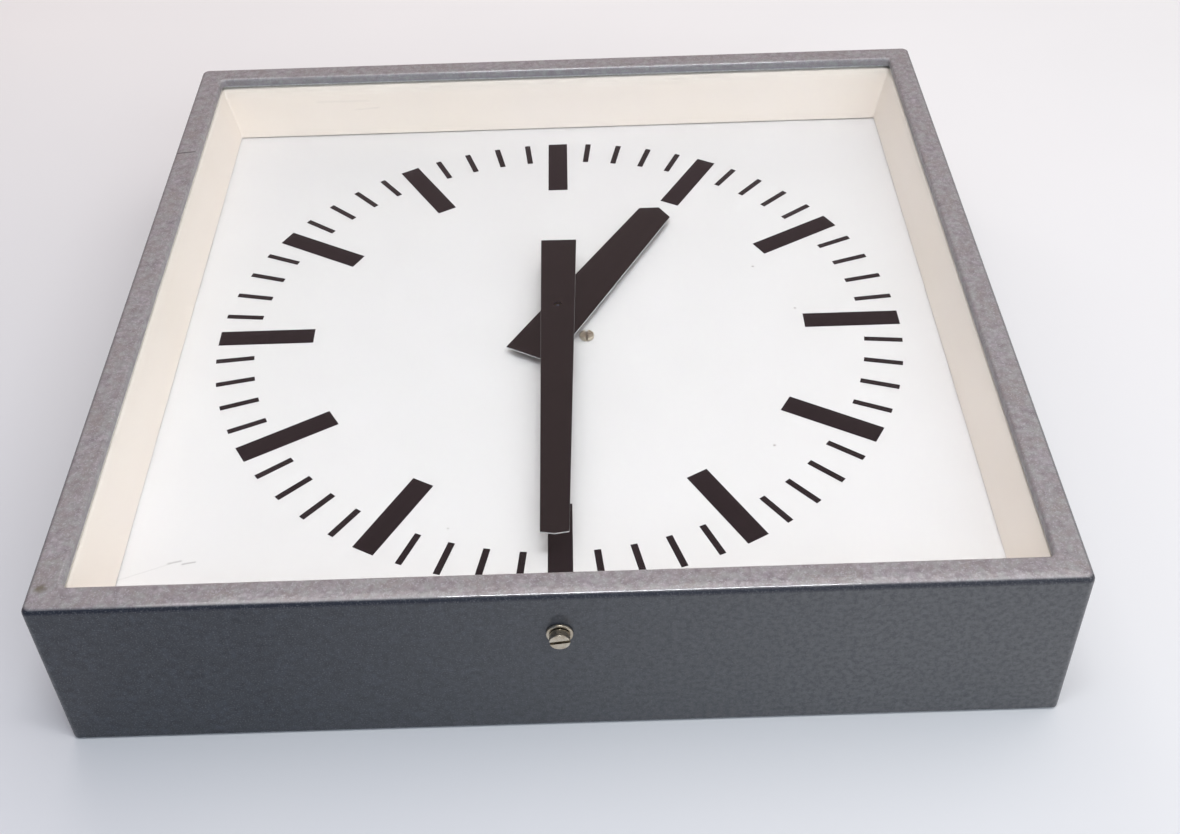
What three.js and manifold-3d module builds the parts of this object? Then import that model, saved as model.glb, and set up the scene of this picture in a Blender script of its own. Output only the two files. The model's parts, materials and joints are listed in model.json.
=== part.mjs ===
// Square secondary wall clock, 400 mm, in millimetres.
//
// Frame: the origin is the centre of the back plate's rear face, +Z points out through the dial
// and +Y points to twelve o'clock. The clock is modelled lying on its back.
//
// The back plate carries an impulse movement and the dial. A lift-off cover carries the glass and
// the sloping liner, hooks over the plate's top flange and is held by one screw in its lower wall.

import * as THREE from 'three';
import { mergeVertices } from 'three/addons/utils/BufferGeometryUtils.js';
import Module from 'manifold-3d';

const wasm = await Module();
wasm.setup();

// ---------------------------------------------------------------- driving dimensions

const GAP = 0.3; // assembly clearance between two pieces that bear on each other

const CASE = { half: 200, depth: 79, sheet: 1.2, cornerR: 3, edgeR: 2.5, rearZ: 0.5 };
const RIM = { openHalf: 187.5, lipZ: 74.8, openR: 3 };

const PLATE = { half: 197.5, sheet: 1.5, flange: 1.4, height: 14, cornerR: 3 };
const KEYHOLE = { x: 120, y: 140, entryR: 6.5, slotR: 3.5, slotRise: 14 };
const LOWER_HOLE = { y: -150, r: 3.5 };
const CABLE_HOLE = { x: 60, y: 45, r: 8, grommetR: 5 };

const DIAL = { half: 185, topZ: 42.65, sheet: 1, cornerR: 3, centreHoleR: 6.5, postOffset: 160 };
const DIAL_SCREW = { circleR: 15.4, angles: [90, 210, 330], slots: [70, 25, 90] };

const LINER = { bottomHalf: 181.2, topHalf: 187.9, bottomZ: 43.1, topZ: 70.5, sheet: 1 };
const GLASS = { half: 192.5, z0: 70.8, z1: 73.8 };

const MOVEMENT = { x0: -61, x1: 31, y0: -36, y1: 28, rearZ: 8, frontZ: 31, sheet: 1.6 };
const PILLARS = [[-55, 22], [25, 22], [12, -30]];

const LOCK = { z: 58.1, shankR: 2, slotR: 2.5 }; // the case screw's height and shank

const LATCH = { halfWidth: 12, sheet: 1.7, outerY: -195.5, topZ: 66, footLength: 16 };
const SCREW_HOLE_R = 3.6; // through the lower wall, for the collar

const MINUTE_HAND = { z: 56.7, sheet: 1, angle: -180.7, hubR: 7.4 };
const HOUR_HAND = { z: 46.5, sheet: 1, angle: -30, hubR: 9 };

const ARBOR_R = { centre: 1.4, intermediate: 1.1, rotor: 0.9 };
const CANNON = { pipeR: 2.4, boreR: 1.7, z0: 34.2, leavesZ: 36.8, topZ: 54.9 };
const HOUR_PIPE = { outerR: 3.6, boreR: 2.75, topZ: 48.2 };

// Gear train. A wheel and its pinion share a module, so their centres are fixed by the teeth.
const DRIVE = { module: 0.8, wheel: 50, pinion: 10 }; // centre wheel and intermediate pinion
const ROTOR_DRIVE = { module: 0.7, wheel: 48, pinion: 8 }; // intermediate wheel and rotor pinion
const MOTION = { module: 0.6, wheel: 30, cannon: 10, pinion: 8, hourWheel: 32 };
const MOTION_Z = { stud: 34.4, wheel: 34.8, pinion: 36.3, hourWheel: 37.2, hourWheelTop: 38.7, top: 39.3 };

const MAGNET = { r: 6.5, z0: 12.5, z1: 17.5, poleR: 7.6 };
const STATOR = { z0: 13.5, z1: 16.5, outerX: 26, innerX: 18, topY: -9, footY: -54 };
const CORE = { z0: 9.2, z1: 13.2, y0: -53, y1: -43 };
const BOBBIN = { halfLength: 17.6, flange: 1.6, flangeHalf: 9, windingR: 7.8 };

// ---------------------------------------------------------------- materials

function finish(color, roughness, metalness) {
  return () => new THREE.MeshStandardMaterial({ color, roughness, metalness });
}

const hammertone = finish(0x6f6d72, 0.45, 0.4);
const cream = finish(0xeee6d7, 0.5, 0);
const whiteEnamel = finish(0xf4f4f2, 0.45, 0);
const blackPaint = finish(0x2b2725, 0.6, 0);
const zincSteel = finish(0xa3a6a8, 0.45, 0.9);
const nickel = finish(0xa79f8c, 0.3, 1);
const brass = finish(0xb9975b, 0.35, 1);
const laminatedIron = finish(0x5b5d60, 0.6, 0.8);
const magnetIron = finish(0x37383a, 0.5, 0.6);
const copper = finish(0x9a4a2a, 0.4, 0.8);
const bakelite = finish(0x3a2418, 0.4, 0);
const rubber = finish(0x1c1c1c, 0.85, 0);
const leadSleeve = finish(0x8c2f25, 0.6, 0);

function clearGlass() {
  const material = finish(0xdfe9e6, 0.05, 0)();
  material.transparent = true;
  material.opacity = 0.25;
  return material;
}

// ---------------------------------------------------------------- solids

function signedVolume(positions, triangles) {
  const [a, b, c] = [new THREE.Vector3(), new THREE.Vector3(), new THREE.Vector3()];
  let six = 0;
  for (let i = 0; i < triangles.length; i += 3) {
    a.fromArray(positions, 3 * triangles[i]);
    b.fromArray(positions, 3 * triangles[i + 1]);
    c.fromArray(positions, 3 * triangles[i + 2]);
    six += a.dot(b.cross(c));
  }
  return six / 6;
}

// Turns a closed BufferGeometry into a manifold solid, with its faces pointing out.
function solid(geometry) {
  const bare = geometry.index ? geometry.toNonIndexed() : geometry.clone();
  bare.deleteAttribute('normal');
  bare.deleteAttribute('uv');
  const merged = mergeVertices(bare, 1e-5);
  const positions = Float32Array.from(merged.attributes.position.array);
  const triangles = [];
  const index = merged.index.array;
  for (let i = 0; i < index.length; i += 3) {
    const [a, b, c] = [index[i], index[i + 1], index[i + 2]];
    if (a !== b && b !== c && a !== c) triangles.push(a, b, c);
  }
  if (signedVolume(positions, triangles) < 0) triangles.reverse();
  const triVerts = Uint32Array.from(triangles);
  return new wasm.Manifold(new wasm.Mesh({ numProp: 3, vertProperties: positions, triVerts }));
}

function geometryOf(manifold) {
  const mesh = manifold.getMesh();
  const geometry = new THREE.BufferGeometry();
  geometry.setAttribute('position', new THREE.BufferAttribute(mesh.vertProperties.slice(), 3));
  geometry.setIndex(Array.from(mesh.triVerts));
  geometry.computeVertexNormals();
  return geometry;
}

function shapeOf(points) {
  return new THREE.Shape(points.map(([x, y]) => new THREE.Vector2(x, y)));
}

function rectangle(halfX, halfY, r, x = 0, y = 0) {
  const shape = new THREE.Shape();
  const quarter = Math.PI / 2;
  shape.absarc(x + halfX - r, y - halfY + r, r, -quarter, 0, false);
  shape.absarc(x + halfX - r, y + halfY - r, r, 0, quarter, false);
  shape.absarc(x - halfX + r, y + halfY - r, r, quarter, 2 * quarter, false);
  shape.absarc(x - halfX + r, y - halfY + r, r, 2 * quarter, 3 * quarter, false);
  shape.closePath();
  return shape;
}

// A shape extruded along +Z from z0 to z1.
function prism(shape, z0, z1, curveSegments = 4) {
  const geometry = new THREE.ExtrudeGeometry(shape, {
    depth: z1 - z0,
    bevelEnabled: false,
    curveSegments,
  });
  return solid(geometry.translate(0, 0, z0));
}

function block(x0, x1, y0, y1, z0, z1) {
  const geometry = new THREE.BoxGeometry(x1 - x0, y1 - y0, z1 - z0);
  return solid(geometry.translate((x0 + x1) / 2, (y0 + y1) / 2, (z0 + z1) / 2));
}

// A round solid about the Z axis from a closed profile of [radius, z] points.
function turned(profile, segments = 20) {
  const points = [...profile, profile[0]].map(([r, z]) => new THREE.Vector2(r, z));
  return solid(new THREE.LatheGeometry(points, segments).rotateX(Math.PI / 2));
}

function rod(r, z0, z1, segments = 20, x = 0, y = 0) {
  const geometry = new THREE.CylinderGeometry(r, r, z1 - z0, segments).rotateX(Math.PI / 2);
  return solid(geometry.translate(x, y, (z0 + z1) / 2));
}

function ring(outerR, innerR, z0, z1, segments = 24) {
  return turned([[innerR, z0], [outerR, z0], [outerR, z1], [innerR, z1]], segments);
}

// A square frame about the Z axis from a closed profile of [half width, z] points.
function squareRing(profile) {
  const points = [...profile, profile[0]].map(([h, z]) => new THREE.Vector2(h * Math.SQRT2, z));
  const geometry = new THREE.LatheGeometry(points, 4);
  return solid(geometry.rotateY(Math.PI / 4).rotateX(Math.PI / 2));
}

function tube(points, r) {
  const path = new THREE.CatmullRomCurve3(points.map((p) => new THREE.Vector3(...p)));
  const section = new THREE.Shape();
  section.absarc(0, 0, r, 0, 2 * Math.PI, false);
  const options = { steps: 18, bevelEnabled: false, extrudePath: path, curveSegments: 4 };
  return solid(new THREE.ExtrudeGeometry(section, options));
}

// A slotted cheese head screw about the Z axis, with its head on top of headZ.
function slottedScrew({ headR, headH, slotW, slotD, shankR, headZ, endZ, slotAngle }) {
  const chamfer = headH * 0.12;
  const top = headZ + headH;
  const body = turned([
    [0, endZ],
    [shankR, endZ],
    [shankR, headZ],
    [headR, headZ],
    [headR, top - chamfer],
    [headR - chamfer, top],
    [0, top],
  ], 16);
  const cutter = new THREE.BoxGeometry(2 * headR + 1, slotW, 2 * slotD).translate(0, 0, top);
  return body.subtract(solid(cutter.rotateZ(THREE.MathUtils.degToRad(slotAngle))));
}

// ---------------------------------------------------------------- gears

const PRESSURE_ANGLE = THREE.MathUtils.degToRad(20);
const BACKLASH = 0.16; // share of the circular pitch taken off each tooth
const ADDENDUM = { wheel: 0.75, pinion: 0.85 };
const DEDENDUM = 1.15;

function involute(angle) {
  return Math.tan(angle) - angle;
}

// The half angle that a tooth fills at radius r; below the base circle the flank is radial.
function toothHalfAngle(teeth, module, r) {
  const pitchR = (teeth * module) / 2;
  const baseR = pitchR * Math.cos(PRESSURE_ANGLE);
  const atPitch = (Math.PI / (2 * teeth)) * (1 - 2 * BACKLASH);
  const flank = r > baseR ? involute(Math.acos(baseR / r)) : 0;
  return atPitch + involute(PRESSURE_ANGLE) - flank;
}

// A gear outline with a tooth centred on +X. A pinion's leaves also get a point at the pitch circle.
function gearShape(teeth, module, addendum) {
  const pitchR = (teeth * module) / 2;
  const rootR = pitchR - DEDENDUM * module;
  const tipR = pitchR + addendum * module;
  const radii = addendum === ADDENDUM.pinion ? [rootR, pitchR, tipR] : [rootR, tipR];
  const points = [];
  for (let tooth = 0; tooth < teeth; tooth += 1) {
    const centre = (2 * Math.PI * tooth) / teeth;
    const flank = radii.map((r) => [r, toothHalfAngle(teeth, module, r)]);
    const rising = flank.map(([r, half]) => [r, centre - half]);
    const falling = flank.map(([r, half]) => [r, centre + half]).reverse();
    for (const [r, a] of [...rising, ...falling]) {
      points.push([r * Math.cos(a), r * Math.sin(a)]);
    }
  }
  return shapeOf(points);
}

// Cuts equal windows between a hub and a rim, so that spokes of the given width stay.
function cutSpokes(wheel, { spokes, hubR, rimR, width, z0, z1 }) {
  let result = wheel;
  for (let i = 0; i < spokes; i += 1) {
    const from = (2 * Math.PI * i) / spokes;
    const to = from + (2 * Math.PI) / spokes;
    const window = new THREE.Shape();
    window.absarc(0, 0, rimR, from + width / 2 / rimR, to - width / 2 / rimR, false);
    window.absarc(0, 0, hubR, to - width / 2 / hubR, from + width / 2 / hubR, true);
    window.closePath();
    result = result.subtract(prism(window, z0 - 1, z1 + 1, 3));
  }
  return result;
}

function gear(teeth, module, addendum, z0, z1) {
  return prism(gearShape(teeth, module, addendum), z0, z1);
}

// The turn that puts a gap or tooth of the driven gear opposite those of the gear it meets.
// `direction` is the angle from the known gear's centre to the driven gear's centre.
function meshTurn(knownTeeth, knownTurn, drivenTeeth, direction) {
  const pitches = ((direction - knownTurn) * knownTeeth) / (2 * Math.PI);
  return direction + Math.PI - ((0.5 - pitches) * 2 * Math.PI) / drivenTeeth;
}

// ---------------------------------------------------------------- assembly

const clock = new THREE.Group();

function add(name, shape, material, { at = [0, 0, 0], turn = [0, 0, 0] } = {}) {
  const mesh = new THREE.Mesh(geometryOf(shape), material());
  mesh.name = name;
  mesh.position.set(...at);
  mesh.rotation.set(...turn);
  clock.add(mesh);
  return mesh;
}

// ---- back plate: a shallow tray with keyholes, a lower fixing hole and a cable entry

function keyhole(x) {
  const entry = rod(KEYHOLE.entryR, -1, PLATE.sheet + 1, 20, x, KEYHOLE.y);
  const slotTop = rod(KEYHOLE.slotR, -1, PLATE.sheet + 1, 20, x, KEYHOLE.y + KEYHOLE.slotRise);
  const run = block(
    x - KEYHOLE.slotR,
    x + KEYHOLE.slotR,
    KEYHOLE.y,
    KEYHOLE.y + KEYHOLE.slotRise,
    -1,
    PLATE.sheet + 1,
  );
  return entry.add(slotTop).add(run);
}

function backPlate() {
  const outer = prism(rectangle(PLATE.half, PLATE.half, PLATE.cornerR), 0, PLATE.height);
  const innerHalf = PLATE.half - PLATE.flange;
  const innerR = PLATE.cornerR - PLATE.flange;
  const tray = prism(rectangle(innerHalf, innerHalf, innerR), PLATE.sheet, PLATE.height + 1);
  const cable = rod(CABLE_HOLE.r, -1, PLATE.sheet + 1, 20, CABLE_HOLE.x, CABLE_HOLE.y);
  const lower = rod(LOWER_HOLE.r, -1, PLATE.sheet + 1, 20, 0, LOWER_HOLE.y);
  return outer
    .subtract(tray)
    .subtract(keyhole(-KEYHOLE.x))
    .subtract(keyhole(KEYHOLE.x))
    .subtract(cable)
    .subtract(lower);
}

const FLOOR = PLATE.sheet + GAP; // what stands on the back plate starts here

function cableGrommet() {
  const neckR = CABLE_HOLE.r - GAP;
  const collarR = CABLE_HOLE.r + 3;
  return turned([
    [CABLE_HOLE.grommetR, 0.2],
    [neckR, 0.2],
    [neckR, FLOOR],
    [collarR, FLOOR],
    [collarR - 0.8, FLOOR + 2.4],
    [CABLE_HOLE.grommetR, FLOOR + 2.4],
  ]);
}

// The upright that the case screw clamps, with a slot that is open towards the front.
function latchBracket() {
  const { halfWidth, sheet, outerY, topZ, footLength } = LATCH;
  const foot = block(-halfWidth, halfWidth, outerY, outerY + footLength, FLOOR, FLOOR + sheet);
  const upright = block(-halfWidth, halfWidth, outerY, outerY + sheet, FLOOR, topZ);
  const round = new THREE.CylinderGeometry(LOCK.slotR, LOCK.slotR, 6, 24);
  round.translate(0, outerY, LOCK.z);
  const slot = block(-LOCK.slotR, LOCK.slotR, outerY - 3, outerY + 3, LOCK.z, topZ + 1);
  return foot.add(upright).subtract(solid(round)).subtract(slot);
}

add('back_plate', backPlate(), zincSteel);
add('cable_grommet', cableGrommet(), rubber, { at: [CABLE_HOLE.x, CABLE_HOLE.y, 0] });
add('latch_bracket', latchBracket(), zincSteel);

const dialUnder = DIAL.topZ - DIAL.sheet;
const CORNERS = [[1, 1], [-1, 1], [-1, -1], [1, -1]];
CORNERS.forEach(([sx, sy], i) => {
  const post = turned([
    [0, FLOOR],
    [6, FLOOR],
    [6, FLOOR + 2],
    [3.5, FLOOR + 3],
    [3.5, dialUnder - GAP - 2],
    [5, dialUnder - GAP - 1.5],
    [5, dialUnder - GAP],
    [0, dialUnder - GAP],
  ], 16);
  add(`dial_post_${i + 1}`, post, zincSteel, {
    at: [sx * DIAL.postOffset, sy * DIAL.postOffset, 0],
  });
});

// ---- movement frame: two plates on three shouldered pillars

const centres = (() => {
  const driveDistance = ((DRIVE.wheel + DRIVE.pinion) * DRIVE.module) / 2;
  const rotorDistance = ((ROTOR_DRIVE.wheel + ROTOR_DRIVE.pinion) * ROTOR_DRIVE.module) / 2;
  const motionDistance = ((MOTION.wheel + MOTION.cannon) * MOTION.module) / 2;
  return {
    intermediate: [-driveDistance, 0],
    rotor: [-driveDistance, -rotorDistance],
    motion: [0, -motionDistance],
  };
})();

function movementPlate(z0) {
  const { x0, x1, y0, y1, sheet } = MOVEMENT;
  const [halfX, halfY] = [(x1 - x0) / 2, (y1 - y0) / 2];
  const outline = rectangle(halfX, halfY, 6, (x0 + x1) / 2, (y0 + y1) / 2);
  let plate = prism(outline, z0, z0 + sheet);
  const hole = (r, [x, y]) => {
    plate = plate.subtract(rod(r, z0 - 1, z0 + sheet + 1, 16, x, y));
  };
  hole(ARBOR_R.centre + 0.35, [0, 0]);
  hole(ARBOR_R.intermediate + GAP, centres.intermediate);
  hole(ARBOR_R.rotor + GAP, centres.rotor);
  PILLARS.forEach((pillar) => hole(2.5, pillar));
  return plate;
}

const frontTop = MOVEMENT.frontZ + MOVEMENT.sheet;

add('movement_rear_plate', movementPlate(MOVEMENT.rearZ), brass);
add('movement_front_plate', movementPlate(MOVEMENT.frontZ), brass);

PILLARS.forEach(([x, y], i) => {
  const shoulderZ = MOVEMENT.rearZ - GAP;
  const topZ = MOVEMENT.frontZ - GAP;
  const pillar = turned([
    [0, FLOOR],
    [4, FLOOR],
    [4, shoulderZ],
    [2.2, shoulderZ],
    [2.2, topZ],
    [0.9, topZ],
    [0.9, topZ - 6],
    [0, topZ - 6],
  ], 16);
  add(`movement_pillar_${i + 1}`, pillar, brass, { at: [x, y, 0] });
  const screw = slottedScrew({
    headR: 3.4,
    headH: 1.8,
    slotW: 0.8,
    slotD: 0.9,
    shankR: 0.7,
    headZ: frontTop + GAP,
    endZ: topZ - 5,
    slotAngle: 40 * i,
  });
  add(`plate_screw_${i + 1}`, screw, zincSteel, { at: [x, y, 0] });
});

// ---- impulse motor: core, bobbin, winding and two pole pieces about the rotor

const rotorX = centres.rotor[0];
const rotorY = centres.rotor[1];
const coreY = (CORE.y0 + CORE.y1) / 2;
const coreZ = (CORE.z0 + CORE.z1) / 2;

function polePiece(side) {
  const limbOuter = rotorX + side * STATOR.outerX;
  const limbInner = rotorX + side * STATOR.innerX;
  const toe = rotorX + side * 1.4;
  const shoulderY = rotorY - 9;
  const outline = shapeOf([
    [limbOuter, STATOR.footY],
    [limbInner, STATOR.footY],
    [limbInner, shoulderY],
    [toe, shoulderY],
    [toe, STATOR.topY],
    [limbOuter, STATOR.topY],
  ]);
  const bore = rod(MAGNET.poleR, STATOR.z0 - 1, STATOR.z1 + 1, 24, rotorX, rotorY);
  return prism(outline, STATOR.z0, STATOR.z1).subtract(bore);
}

add('stator_pole_left', polePiece(-1), laminatedIron);
add('stator_pole_right', polePiece(1), laminatedIron);

const core = block(
  rotorX - STATOR.outerX,
  rotorX + STATOR.outerX,
  CORE.y0,
  CORE.y1,
  CORE.z0,
  CORE.z1,
);
add('coil_core', core, laminatedIron);

function coilBobbin() {
  const { halfLength, flange, flangeHalf } = BOBBIN;
  const [tubeY, tubeZ] = [6.4, 3.4];
  const cheek = (x0, x1) => block(x0, x1, -flangeHalf, flangeHalf, -flangeHalf, flangeHalf);
  const barrel = block(-halfLength, halfLength, -tubeY, tubeY, -tubeZ, tubeZ);
  const bore = block(-halfLength - 1, halfLength + 1, -5.3, 5.3, -2.3, 2.3);
  return barrel
    .add(cheek(-halfLength, -halfLength + flange))
    .add(cheek(halfLength - flange, halfLength))
    .subtract(bore);
}

function coilWinding() {
  const end = BOBBIN.halfLength - BOBBIN.flange - GAP;
  const shape = prism(rectangle(BOBBIN.windingR, BOBBIN.windingR, 3), -end, end);
  const bore = block(-3.7, 3.7, -6.7, 6.7, -end - 1, end + 1);
  return shape.subtract(bore).rotate([0, 90, 0]);
}

const coilAt = { at: [rotorX, coreY, coreZ] };
add('coil_bobbin', coilBobbin(), bakelite, coilAt);
add('coil_winding', coilWinding(), copper, coilAt);

// ---- terminal block and the two leads from the coil

const TERMINAL = { x: 70, y: -50, halfY: 14, length: 24, height: 13 };

function terminalBlock() {
  const { length, halfY, height } = TERMINAL;
  const body = block(0, length, -halfY, halfY, FLOOR, height);
  const step = block(length / 2, length + 1, -halfY - 1, halfY + 1, 8, height + 1);
  const barrier = block(length / 2 - 1, length, -1.2, 1.2, FLOOR, height);
  let result = body.subtract(step).add(barrier);
  for (const side of [-1, 1]) {
    result = result.subtract(rod(1.6, 4, height + 1, 16, length * 0.75, side * halfY * 0.5));
  }
  return result;
}

add('terminal_block', terminalBlock(), bakelite, { at: [TERMINAL.x, TERMINAL.y, 0] });

[-1, 1].forEach((side, i) => {
  const y = TERMINAL.y + side * TERMINAL.halfY * 0.5;
  const screw = slottedScrew({
    headR: 3.2,
    headH: 2,
    slotW: 0.8,
    slotD: 1,
    shankR: 1.2,
    headZ: 8 + GAP,
    endZ: 4.4,
    slotAngle: 30 + 70 * i,
  });
  add(`terminal_screw_${i + 1}`, screw, brass, { at: [TERMINAL.x + TERMINAL.length * 0.75, y, 0] });

  const startX = rotorX + BOBBIN.halfLength - BOBBIN.flange / 2;
  const startY = coreY + side * 5;
  const startZ = coreZ + BOBBIN.flangeHalf + 0.5;
  const endX = TERMINAL.x - 0.4;
  const lead = tube([
    [startX, startY, startZ],
    [startX + 0.4, startY, startZ + 2.5],
    [startX + 6, startY, startZ + 4],
    [startX + 30, startY - 2 + side, 15],
    [endX - 16, y, 9.4],
    [endX - 5, y, 9],
    [endX, y, 9],
  ], 0.8);
  add(`coil_lead_${i + 1}`, lead, leadSleeve);
});

// ---- dial on three spacers, held by three slotted screws near its centre

function dialPlate() {
  let plate = prism(rectangle(DIAL.half, DIAL.half, DIAL.cornerR), dialUnder, DIAL.topZ);
  plate = plate.subtract(rod(DIAL.centreHoleR, dialUnder - 1, DIAL.topZ + 1, 24));
  for (const degrees of DIAL_SCREW.angles) {
    const [x, y] = onScrewCircle(degrees);
    plate = plate.subtract(rod(1.9, dialUnder - 1, DIAL.topZ + 1, 16, x, y));
  }
  return plate;
}

function onScrewCircle(degrees) {
  const angle = THREE.MathUtils.degToRad(degrees);
  return [DIAL_SCREW.circleR * Math.cos(angle), DIAL_SCREW.circleR * Math.sin(angle)];
}

add('dial_plate', dialPlate(), whiteEnamel);

DIAL_SCREW.angles.forEach((degrees, i) => {
  const [x, y] = onScrewCircle(degrees);
  const spacer = ring(3, 1.9, frontTop + GAP, dialUnder - GAP, 16);
  add(`dial_spacer_${i + 1}`, spacer, brass, { at: [x, y, 0] });
  const screw = slottedScrew({
    headR: 3.5,
    headH: 1.8,
    slotW: 0.9,
    slotD: 1,
    shankR: 1.5,
    headZ: DIAL.topZ + GAP,
    endZ: frontTop + 1,
    slotAngle: DIAL_SCREW.slots[i],
  });
  add(`dial_screw_${i + 1}`, screw, nickel, { at: [x, y, 0] });
});

// ---- going train: centre wheel, intermediate arbor and rotor

const ARBOR_Z = [6.5, 33.6];
const CENTRE_WHEEL_Z = [26.5, 28.5];
const INTERMEDIATE_WHEEL_Z = [21, 22.6];

const intermediateTurn = meshTurn(DRIVE.wheel, 0, DRIVE.pinion, Math.PI);
const rotorTurn = meshTurn(ROTOR_DRIVE.wheel, 0, ROTOR_DRIVE.pinion, -Math.PI / 2);

const centreArborTop = MINUTE_HAND.z - 0.2; // its end is sunk in the hand's hole
add('centre_arbor', rod(ARBOR_R.centre, ARBOR_Z[0], centreArborTop), zincSteel);

function wheelWithHub({ teeth, module, z, hubR, hubZ, boreR, spokes, rimR }) {
  const wheel = gear(teeth, module, ADDENDUM.wheel, z[0], z[1]);
  const web = { spokes, hubR: hubR + 1, rimR, width: 2.6, z0: z[0], z1: z[1] };
  const hub = rod(hubR, hubZ[0], hubZ[1]);
  const bore = rod(boreR, hubZ[0] - 1, hubZ[1] + 1, 20);
  return cutSpokes(wheel, web).add(hub).subtract(bore);
}

const centreWheel = wheelWithHub({
  teeth: DRIVE.wheel,
  module: DRIVE.module,
  z: CENTRE_WHEEL_Z,
  hubR: 3.6,
  hubZ: [24.4, 30.2],
  boreR: ARBOR_R.centre + GAP,
  spokes: 5,
  rimR: 16.8,
});
add('centre_wheel', centreWheel, brass);

const intermediateArbor = rod(ARBOR_R.intermediate, ARBOR_Z[0], ARBOR_Z[1], 16).add(
  gear(DRIVE.pinion, DRIVE.module, ADDENDUM.pinion, 25.3, 29.6),
);
const intermediateAt = [...centres.intermediate, 0];
add('intermediate_arbor', intermediateArbor, zincSteel, {
  at: intermediateAt,
  turn: [0, 0, intermediateTurn],
});

const intermediateWheel = wheelWithHub({
  teeth: ROTOR_DRIVE.wheel,
  module: ROTOR_DRIVE.module,
  z: INTERMEDIATE_WHEEL_Z,
  hubR: 3,
  hubZ: [19.4, 24.6],
  boreR: ARBOR_R.intermediate + GAP,
  spokes: 5,
  rimR: 13.9,
});
add('intermediate_wheel', intermediateWheel, brass, { at: intermediateAt });

const rotorArbor = rod(ARBOR_R.rotor, ARBOR_Z[0], ARBOR_Z[1], 16).add(
  gear(ROTOR_DRIVE.pinion, ROTOR_DRIVE.module, ADDENDUM.pinion, 20.2, 23.6),
);
add('rotor_arbor', rotorArbor, zincSteel, {
  at: [...centres.rotor, 0],
  turn: [0, 0, rotorTurn],
});
const magnet = ring(MAGNET.r, ARBOR_R.rotor + GAP, MAGNET.z0, MAGNET.z1, 24);
add('rotor_magnet', magnet, magnetIron, { at: [...centres.rotor, 0] });

// ---- motion work under the dial: cannon pinion, motion wheel and hour wheel

const down = -Math.PI / 2;
const cannonTurn = down; // a leaf points at the motion wheel
const motionWheelTurn = meshTurn(MOTION.cannon, cannonTurn, MOTION.wheel, down);
const motionPinionTurn = motionWheelTurn;
const hourWheelTurn = meshTurn(MOTION.pinion, motionPinionTurn, MOTION.hourWheel, -down);

const cannonPinion = rod(CANNON.pipeR, CANNON.z0, CANNON.topZ)
  .add(gear(MOTION.cannon, MOTION.module, ADDENDUM.pinion, CANNON.z0, CANNON.leavesZ))
  .subtract(rod(CANNON.boreR, CANNON.z0 - 1, CANNON.topZ + 1, 20));
add('cannon_pinion', cannonPinion, zincSteel, { turn: [0, 0, cannonTurn] });

const STUD_R = 0.8;
const motionWheel = gear(MOTION.wheel, MOTION.module, ADDENDUM.wheel, MOTION_Z.wheel, MOTION_Z.pinion)
  .add(gear(MOTION.pinion, MOTION.module, ADDENDUM.pinion, MOTION_Z.pinion, MOTION_Z.top))
  .subtract(rod(STUD_R + GAP, MOTION_Z.wheel - 1, MOTION_Z.top + 1, 16));
const motionAt = [...centres.motion, 0];
add('motion_wheel', motionWheel, brass, { at: motionAt, turn: [0, 0, motionWheelTurn] });

const motionStud = turned([
  [0, frontTop + GAP],
  [2.6, frontTop + GAP],
  [2.6, MOTION_Z.stud],
  [STUD_R, MOTION_Z.stud],
  [STUD_R, MOTION_Z.top + 1.3],
  [0, MOTION_Z.top + 1.3],
], 16);
add('motion_stud', motionStud, zincSteel, { at: motionAt });

const { hourWheel: hourWheelZ, hourWheelTop } = MOTION_Z;
const hourWheel = gear(MOTION.hourWheel, MOTION.module, ADDENDUM.wheel, hourWheelZ, hourWheelTop)
  .add(rod(HOUR_PIPE.outerR, hourWheelZ, HOUR_PIPE.topZ))
  .subtract(rod(HOUR_PIPE.boreR, hourWheelZ - 1, HOUR_PIPE.topZ + 1));
add('hour_wheel', hourWheel, brass, { turn: [0, 0, hourWheelTurn] });

// ---- hands: flat blades on turned bushes

const minuteOutline = shapeOf([
  [-8.85, -52],
  [8.85, -52],
  [6, 148.5],
  [0, 149.5],
  [-6, 148.5],
]);
const hourOutline = shapeOf([
  [-12.4, -28.5],
  [12.4, -28.5],
  [11.5, 13.3],
  [9.1, 101.6],
  [0, 106.8],
  [-9.1, 101.6],
  [-11.5, 13.3],
]);

function hand(outline, { z, sheet }, boreR) {
  return prism(outline, z, z + sheet).subtract(rod(boreR, z - 1, z + sheet + 1));
}

function bush(hubR, neckR, boreR, z0, z1, hubH) {
  return turned([
    [boreR, z0],
    [neckR, z0],
    [neckR, z1 - hubH],
    [hubR, z1 - hubH],
    [hubR, z1],
    [boreR, z1],
  ], 24);
}

function handTurn({ angle }) {
  return { turn: [0, 0, THREE.MathUtils.degToRad(angle)] };
}

const minuteBush = bush(MINUTE_HAND.hubR, 4.4, 2.7, 50.2, MINUTE_HAND.z - GAP, 1.2);
add('minute_hand_bush', minuteBush, brass);
const minuteBore = ARBOR_R.centre + GAP;
add('minute_hand', hand(minuteOutline, MINUTE_HAND, minuteBore), blackPaint, handTurn(MINUTE_HAND));

const hourBore = HOUR_PIPE.outerR + GAP;
const hourBush = bush(HOUR_HAND.hubR, 5.4, hourBore, 43.3, HOUR_HAND.z - GAP, 1.2);
add('hour_hand_bush', hourBush, brass);
add('hour_hand', hand(hourOutline, HOUR_HAND, hourBore), blackPaint, handTurn(HOUR_HAND));

// ---- cover: folded sheet case with a returned lip, glass, gasket and sloping liner

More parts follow.
